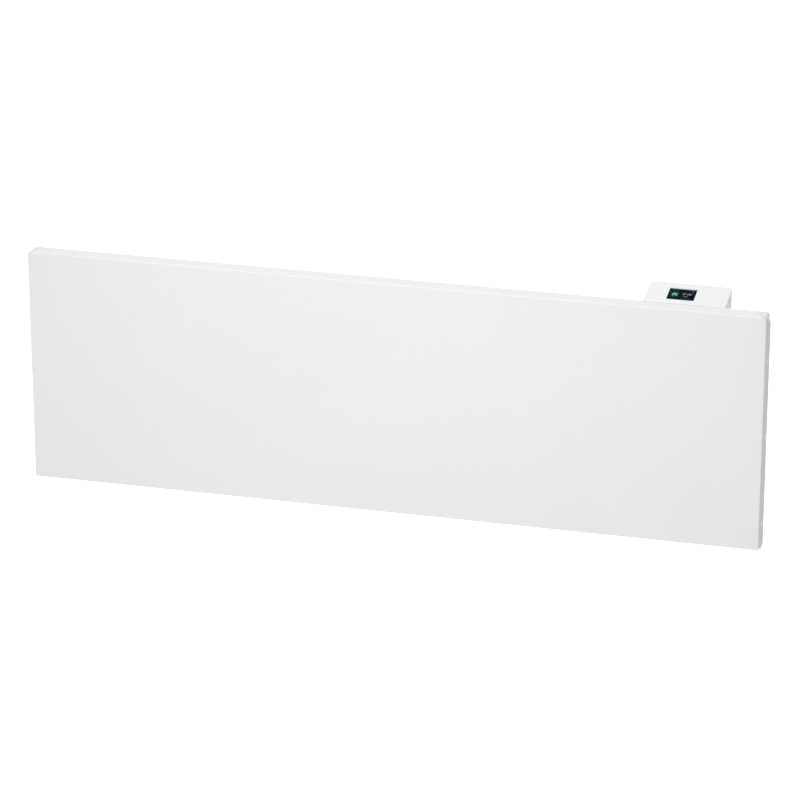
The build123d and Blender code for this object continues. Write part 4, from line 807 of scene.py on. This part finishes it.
class HEATER_OT_side_screws(Operator):
    """Six cross-recessed low-head screws in the side flanges"""

    bl_idname = "heater.side_screws"
    bl_label = "Side screws"

    def execute(self, context):
        fasteners, metal = context.scene.heater_fasteners, context.scene.heater_metal
        parts, shank_share = [], 0.55
        head_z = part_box("front_panel")[1].x
        for low, high in solids_of("panel_screws"):
            side = math.copysign(1, low[0])
            tip, crown = sorted(abs(v) for v in (low[0], high[0]))
            radius = (high[2] - low[2]) / 2
            made, *faces = cross_screw(
                fasteners, radius, crown - head_z, radius * shank_share, head_z - tip
            )
            centre = (side * head_z, (low[1] + high[1]) / 2, (low[2] + high[2]) / 2)
            parts.append((aimed(made, centre, (side, 0, 0)), *faces))
        zinc = bright_metal("bright_zinc_screw", metal.bright, metal.edge, 0.28)
        piece = write_piece("side_screws", *copies(parts), zinc, "heater")
        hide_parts("panel_screws")
        return {"FINISHED"}


class HEATER_OT_rivets(Operator):
    """Blind rivets of the casing and of the spring catches"""

    bl_idname = "heater.rivets"
    bl_label = "Rivets"

    def execute(self, context):
        fasteners, metal = context.scene.heater_fasteners, context.scene.heater_metal
        zinc = bright_metal("rivet_zinc", metal.bright, metal.edge, 0.34)
        head, shank = 0.9 * MM, 1.6 * MM
        for node, name, body, out in (
            ("casing_rivets", "casing_blind_rivets", "heater", 1),
            ("catch_rivets", "catch_blind_rivets", "wall_bracket", -1),
        ):
            parts = []
            for low, high in solids_of(node):
                radius, half_grip = (high[0] - low[0]) / 2, (high[1] - low[1]) / 2 - head
                made, *faces = blind_rivet(fasteners, half_grip, radius, shank, head)
                parts.append((aimed(made, (low + high) / 2, (0, out, 0)), *faces))
            piece = write_piece(name, *copies(parts), zinc, body)
            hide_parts(node)
        return {"FINISHED"}


class HEATER_OT_control_unit(Operator):
    """White plastic of the control unit's cover and housing"""

    bl_idname = "heater.control_unit"
    bl_label = "Control unit"

    def execute(self, context):
        plastic = context.scene.heater_plastic
        white = moulded("control_plastic", plastic.control, plastic, 0.44, 2 * plastic.edge)
        put_on(white, "control_cover", "control_housing")
        return {"FINISHED"}


class HEATER_OT_display(Operator):
    """Window, display panel and the lit signs on it"""

    bl_idname = "heater.display"
    bl_label = "Display"

    def execute(self, context):
        look = context.scene.heater_display
        put_on(clear_window("display_glass"), "display_window")
        put_on(unlit_panel("display_panel", look.panel), "display_module")
        place, (width, height, thick) = window_place()

        def at(u, v):
            """Window share from its upper left corner to metres from its middle."""
            return np.array([(u - 0.5) * width, (0.5 - v) * height])

        def tile(u0, u1, v0, v1):
            """Middle and half size of a tile between window shares."""
            low, high = at(u0, v1), at(u1, v0)
            return (low + high) / 2, (high - low) / 2

        def add(name, base, parts):
            """One lit mark, laid on the display."""
            points, faces = copies(parts)
            light = lit(name + "_light", base, look.glow, place)
            piece = write_piece(name, laid(points, place), faces, light, "heater", 20.0)

        thin, layer = 0.04 * MM, 0.03 * MM - thick
        ground, raised = (layer, layer + thin), (layer + thin, layer + 2 * thin)
        left, right = tile(0.05, 0.375, 0.14, 0.80), tile(0.49, 0.94, 0.10, 0.86)
        corner, line = 2.2 * MM, 0.45 * MM
        add("left_tile_ground", look.tile, [plate(round_box(*left, corner), *ground)])
        add("left_tile_frame", look.rim, [ring_plate(*left, corner, line, *raised)])
        add("right_tile_frame", look.dim, [ring_plate(*right, corner, line, *ground)])

        door, lintel, wall, sill, eaves, roof = MM * np.array([1.2, -1.3, 3.9, -4.3, 0.9, 5.0])
        house = at(0.235, 0.47) + np.array([
            (-wall, sill), (-door, sill), (-door, lintel), (door, lintel), (door, sill),
            (wall, sill), (wall, eaves), (roof, eaves), (0, roof), (-roof, eaves), (-wall, eaves),
        ])
        add("house_sign", look.pictogram, [plate(house, *raised)])

        big, small = MM * np.array([2.4, 4.4, 0.75, 1.15]), MM * np.array([1.3, 2.3, 0.4, 0.75])
        reading = digit_plates(f"{look.reading / 10:.1f}", at(0.545, 0.47), *big, *ground)
        degree = ring_plate(at(0.845, 0.36), [0.85 * MM] * 2, 0.8 * MM, 0.4 * MM, *ground)
        add("reading_digits", look.digits, [*reading, degree])
        clock = digit_plates("1830", at(0.54, 0.66), *small, *ground)
        add("clock_digits", shade(look.digits, 0.6), clock)
        spots = [at(0.55 + 0.042 * k, 0.775) for k in range(8)]
        bars = [round_box(spot, (0.62 * MM, 0.3 * MM), 0.25 * MM, 3) for spot in spots]
        add("week_bars", shade(look.digits, 0.22), [plate(bar, *ground) for bar in bars])
        dot = round_box(at(0.865, 0.155), [0.8 * MM] * 2, 0.78 * MM, 8)
        add("status_dot", look.dot, [plate(dot, *ground)])
        return {"FINISHED"}


class HEATER_OT_switch(Operator):
    """Mains switch: textured housing, glossy rocker with its on and off marks, and brass tabs"""

    bl_idname = "heater.switch"
    bl_label = "Mains switch"

    def execute(self, context):
        plastic = context.scene.heater_plastic
        put_on(moulded("switch_plastic", plastic.dark, plastic, 0.5), "switch_body")
        put_on(gloss_body("rocker_plastic", shade(plastic.dark, 0.9), 0.22), "power_rocker")
        put_on(bright_metal("tab_brass", (0.72, 0.56, 0.27), 0.0001, 0.3), "switch_terminals")
        sunk, proud, reach = -0.1 * MM, 0.05 * MM, 1.6 * MM
        stroke = plate(round_box((0, 0), (0.35 * MM, reach), 0.3 * MM), sunk, proud)
        ring = ring_plate((0, 0), (reach, reach), 1.55 * MM, 0.55 * MM, sunk, proud)
        marks = [
            (laid(points, face), *faces)
            for face, (points, *faces) in zip(rocker_faces(), (stroke, ring))
        ]
        white = moulded("switch_mark_white", (0.78, 0.78, 0.77), plastic, 0.5, 0.0)
        piece = write_piece("switch_marks", *copies(marks), white, "rocker", 20.0)
        return {"FINISHED"}


class HEATER_OT_cord_inlet(Operator):
    """Cable gland, its fluted cap nut, the cord clamp and the room sensor"""

    bl_idname = "heater.cord_inlet"
    bl_label = "Cord inlet and sensor"

    def execute(self, context):
        fasteners, plastic = context.scene.heater_fasteners, context.scene.heater_plastic
        dark = moulded("gland_plastic", plastic.dark, plastic, 0.46)
        put_on(dark, "cable_gland", "cord_clamp")
        put_on(moulded("sensor_plastic", (0.70, 0.70, 0.71), plastic, 0.4), "room_sensor")
        low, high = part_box("gland_nut")
        reach, tall = (high.x - low.x) / 2 - 0.2 * MM, high.z - low.z
        bore, thread = 3.8 * MM, 6.2 * MM
        points, quads = fluted_nut(fasteners, reach, tall, bore, thread)
        points = points + np.array([(low.x + high.x) / 2, (low.y + high.y) / 2, low.z])
        piece = write_piece("fluted_nut", points, [quads], dark, "heater")
        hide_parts("gland_nut")
        return {"FINISHED"}


class HEATER_OT_element(Operator):
    """Heating element, its supports and the heat shield"""

    bl_idname = "heater.element"
    bl_label = "Heating element"

    def execute(self, context):
        metal = context.scene.heater_metal
        drawn, rolled = (0.012, 1, 1), (0.02, 1, 1)
        fins = bright_metal("extruded_aluminium", metal.aluminium, metal.edge, 0.36, drawn)
        put_on(fins, "element_fins")
        shield = bright_metal("rolled_reflector", (0.84, 0.84, 0.85), 0.0, 0.16, rolled)
        put_on(shield, "heat_shield")
        put_on(heat_tinted("heat_tinted_steel"), "element_sheath")
        put_on(bright_metal("terminal_steel", metal.bright, 0.0001, 0.32), "element_terminals")
        put_on(soft_rubber("bush_silicone", (0.45, 0.13, 0.08)), *both("element_bush"))
        support = galvanised("galvanised_support", metal.zinc, metal)
        put_on(support, *both("element_bracket"), "cutout_bracket")
        put_on(bright_metal("bimetal_can", (0.68, 0.68, 0.69), 0.0002, 0.3), "overheat_cutout")
        return {"FINISHED"}


class HEATER_OT_wiring(Operator):
    """Leads, clips, grommet and earth stud inside the casing"""

    bl_idname = "heater.wiring"
    bl_label = "Wiring"

    def execute(self, context):
        metal, plastic = context.scene.heater_metal, context.scene.heater_plastic
        brown, blue = insulated("brown_lead", (0.22, 0.09, 0.045)), (0.03, 0.13, 0.48)
        green, yellow = (0.08, 0.38, 0.06), (0.78, 0.68, 0.05)
        put_on(brown, "live_lead", "element_lead", "switch_leads")
        put_on(insulated("blue_lead", blue), "neutral_lead")
        put_on(insulated("earth_lead", green, stripe=yellow), "earth_lead")
        put_on(moulded("clip_plastic", (0.62, 0.61, 0.58), plastic, 0.5), "lead_clips")
        put_on(soft_rubber("grommet_rubber", (0.03, 0.03, 0.032)), "casing_grommet")
        put_on(bright_metal("stud_brass", (0.74, 0.58, 0.29), metal.edge, 0.3), "earth_stud")
        return {"FINISHED"}


class HEATER_OT_boards(Operator):
    """Boards and what they carry inside the control unit"""

    bl_idname = "heater.boards"
    bl_label = "Boards"

    def execute(self, context):
        metal = context.scene.heater_metal
        put_on(solder_mask("solder_mask"), "power_board", "control_board")
        put_on(gloss_body("relay_body", (0.035, 0.11, 0.42)), "relay")
        put_on(gloss_body("supply_body", (0.045, 0.045, 0.047), 0.5), "supply_module")
        put_on(gloss_body("terminal_body", (0.06, 0.33, 0.14)), "terminal_block")
        put_on(gloss_body("capacitor_sleeve", (0.05, 0.055, 0.09), 0.3), "capacitor")
        put_on(flat_cable("flat_cable"), "board_ribbon")
        put_on(bright_metal("board_screw_zinc", metal.bright, metal.edge, 0.3), "control_screws")
        return {"FINISHED"}


class HEATER_OT_bracket(Operator):
    """Galvanised wall bracket, its springs and rubber pads"""

    bl_idname = "heater.bracket"
    bl_label = "Wall bracket"

    def execute(self, context):
        metal = context.scene.heater_metal
        zinc = galvanised("galvanised_sheet", metal.zinc, metal)
        put_on(zinc, *both("bracket_rail"), "bracket_bar_upper", "bracket_bar_lower")
        spring = bright_metal("spring_steel", metal.spring, 0.00012, 0.26, (1, 1, 0.05))
        put_on(spring, *both("catch_spring"))
        put_on(soft_rubber("pad_rubber", (0.26, 0.26, 0.27)), *both("rail_buffer"))
        return {"FINISHED"}


class HEATER_OT_hanging_gear(Operator):
    """Lugs, hinge pins and catch strikes on the heater's back"""

    bl_idname = "heater.hanging_gear"
    bl_label = "Hanging gear"

    def execute(self, context):
        metal = context.scene.heater_metal
        zinc = galvanised("galvanised_lug", metal.zinc, metal)
        put_on(zinc, *both("hanger_lug"), *both("catch_strike"))
        put_on(bright_metal("pin_zinc", metal.bright, metal.edge, 0.24), *both("hanger_pin"))
        return {"FINISHED"}


def pale_floor(studio):
    """Flat square z = -drop, white to the camera where it is lit, and clear from below."""
    half, level = studio.floor_half, -studio.floor_drop
    mesh = bpy.data.meshes.new("floor")
    corners = [(-half, -half), (half, -half), (half, half), (-half, half)]
    mesh.from_pydata([(x, y, level) for x, y in corners], [], [(0, 1, 2, 3)])
    f = Finish("pale_floor", Specular_IOR_Level=0.0)
    f.tone(f.noise(0.4, 3.0), (0.78, 0.78, 0.78), (0.82, 0.82, 0.82))
    f.worn(0.05, 3.0, 0.85, 0.95)
    f.put("Emission Color", WHITE)
    f.put("Emission Strength", f.maths("MULTIPLY", f.seen(), studio.floor_glow))
    clear = f.node("BsdfTransparent").outputs[0]
    back = f.node("NewGeometry").outputs["Backfacing"]
    mixed = f.node("MixShader", {0: back, 1: f.bsdf.outputs[0], 2: clear}).outputs[0]
    f.set(f.tree.nodes["Material Output"].inputs["Surface"], mixed)
    mesh.materials.append(f.material)
    linked("floor", mesh)


def white_world(scene, studio):
    """White to the camera, in reflections and through glass; as light, sky (1 - fall |x|) from the
    direction (x, y, z)."""
    world = scene.world or bpy.data.worlds.new("studio")
    scene.world = world
    world.use_nodes = True
    world.node_tree.nodes.clear()
    g = Graph(world.node_tree)
    direction = g.node("SeparateXYZ", {"Vector": g.node("TexCoord").outputs["Generated"]})
    aside = g.maths("ABSOLUTE", direction.outputs["X"])
    level = g.maths("MULTIPLY_ADD", aside, -studio.sky_fall * studio.sky, studio.sky)
    soft = g.node("Background", {"Color": WHITE, "Strength": level}).outputs[0]
    white = g.node("Background", {"Color": WHITE, "Strength": 1.0}).outputs[0]
    mixed = g.node("MixShader", {0: g.seen(), 1: soft, 2: white}).outputs[0]
    g.node("OutputWorld", {"Surface": mixed})


def soft_lamp(name, place, size, watts):
    """Square soft lamp aimed at the origin."""
    light = bpy.data.lights.new(name, "AREA")
    light.shape, light.size, light.energy = "SQUARE", size, watts
    lamp = linked(name, light)
    lamp.location = place
    lamp.rotation_euler = (-Vector(place)).to_track_quat("-Z", "Y").to_euler()
    return lamp


class HEATER_OT_studio(Operator):
    """Pale floor, soft lamps, white surroundings and the camera"""

    bl_idname = "heater.studio"
    bl_label = "Studio"

    def execute(self, context):
        scene, studio = context.scene, context.scene.heater_studio
        pale_floor(studio)
        white_world(scene, studio)
        soft_lamp("top_softbox", (0.0, -0.2, 2.5), 1.4, studio.top)
        soft_lamp("front_softbox", (0.0, -1.45, 0.5), 0.8, studio.front)
        soft_lamp("rear_softbox", (-1.6, 3.4, 0.5), 1.6, studio.rear).visible_glossy = False
        camera = linked("camera", bpy.data.cameras.new("camera"))
        camera.data.lens, camera.data.sensor_width = studio.lens, SENSOR_WIDTH
        camera.data.clip_end = 200.0
        camera.location = CAMERA_PLACE
        camera.rotation_euler = (math.radians(CAMERA_TILT), 0.0, math.radians(CAMERA_TURN))
        scene.camera = camera
        scene.view_settings.view_transform = "Standard"
        return {"FINISHED"}


OPERATORS = (
    HEATER_OT_front_panel, HEATER_OT_corner_caps, HEATER_OT_rear_casing, HEATER_OT_side_screws,
    HEATER_OT_rivets, HEATER_OT_control_unit, HEATER_OT_display, HEATER_OT_switch,
    HEATER_OT_cord_inlet, HEATER_OT_element, HEATER_OT_wiring, HEATER_OT_boards,
    HEATER_OT_bracket, HEATER_OT_hanging_gear, HEATER_OT_studio,
)
GROUPS = {
    "heater_paint": HeaterPaint, "heater_plastic": HeaterPlastic, "heater_metal": HeaterMetal,
    "heater_display": HeaterDisplay, "heater_fasteners": HeaterFasteners,
    "heater_studio": HeaterStudio,
}


class HEATER_PT_sidebar(Panel):
    """Heater's pieces and settings"""

    bl_label = "Wall panel heater"
    bl_idname = "HEATER_PT_sidebar"
    bl_space_type = "VIEW_3D"
    bl_region_type = "UI"
    bl_category = "Heater"

    def draw(self, context):
        for operator in OPERATORS:
            self.layout.operator(operator.bl_idname)
        for name, group in GROUPS.items():
            box = self.layout.box()
            box.label(text=name.replace("_", " ").capitalize())
            for setting in group.__annotations__:
                box.prop(getattr(context.scene, name), setting)


def register():
    for name, group in GROUPS.items():
        bpy.utils.register_class(group)
        setattr(bpy.types.Scene, name, PointerProperty(type=group))
    for operator in (*OPERATORS, HEATER_PT_sidebar):
        bpy.utils.register_class(operator)


def unregister():
    for operator in (HEATER_PT_sidebar, *reversed(OPERATORS)):
        bpy.utils.unregister_class(operator)
    for name, group in reversed(GROUPS.items()):
        delattr(bpy.types.Scene, name)
        bpy.utils.unregister_class(group)


def main():
    """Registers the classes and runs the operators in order."""
    register()
    for operator in OPERATORS:
        group, name = operator.bl_idname.split(".")
        getattr(getattr(bpy.ops, group), name)()


if __name__ == "__main__":
    main()
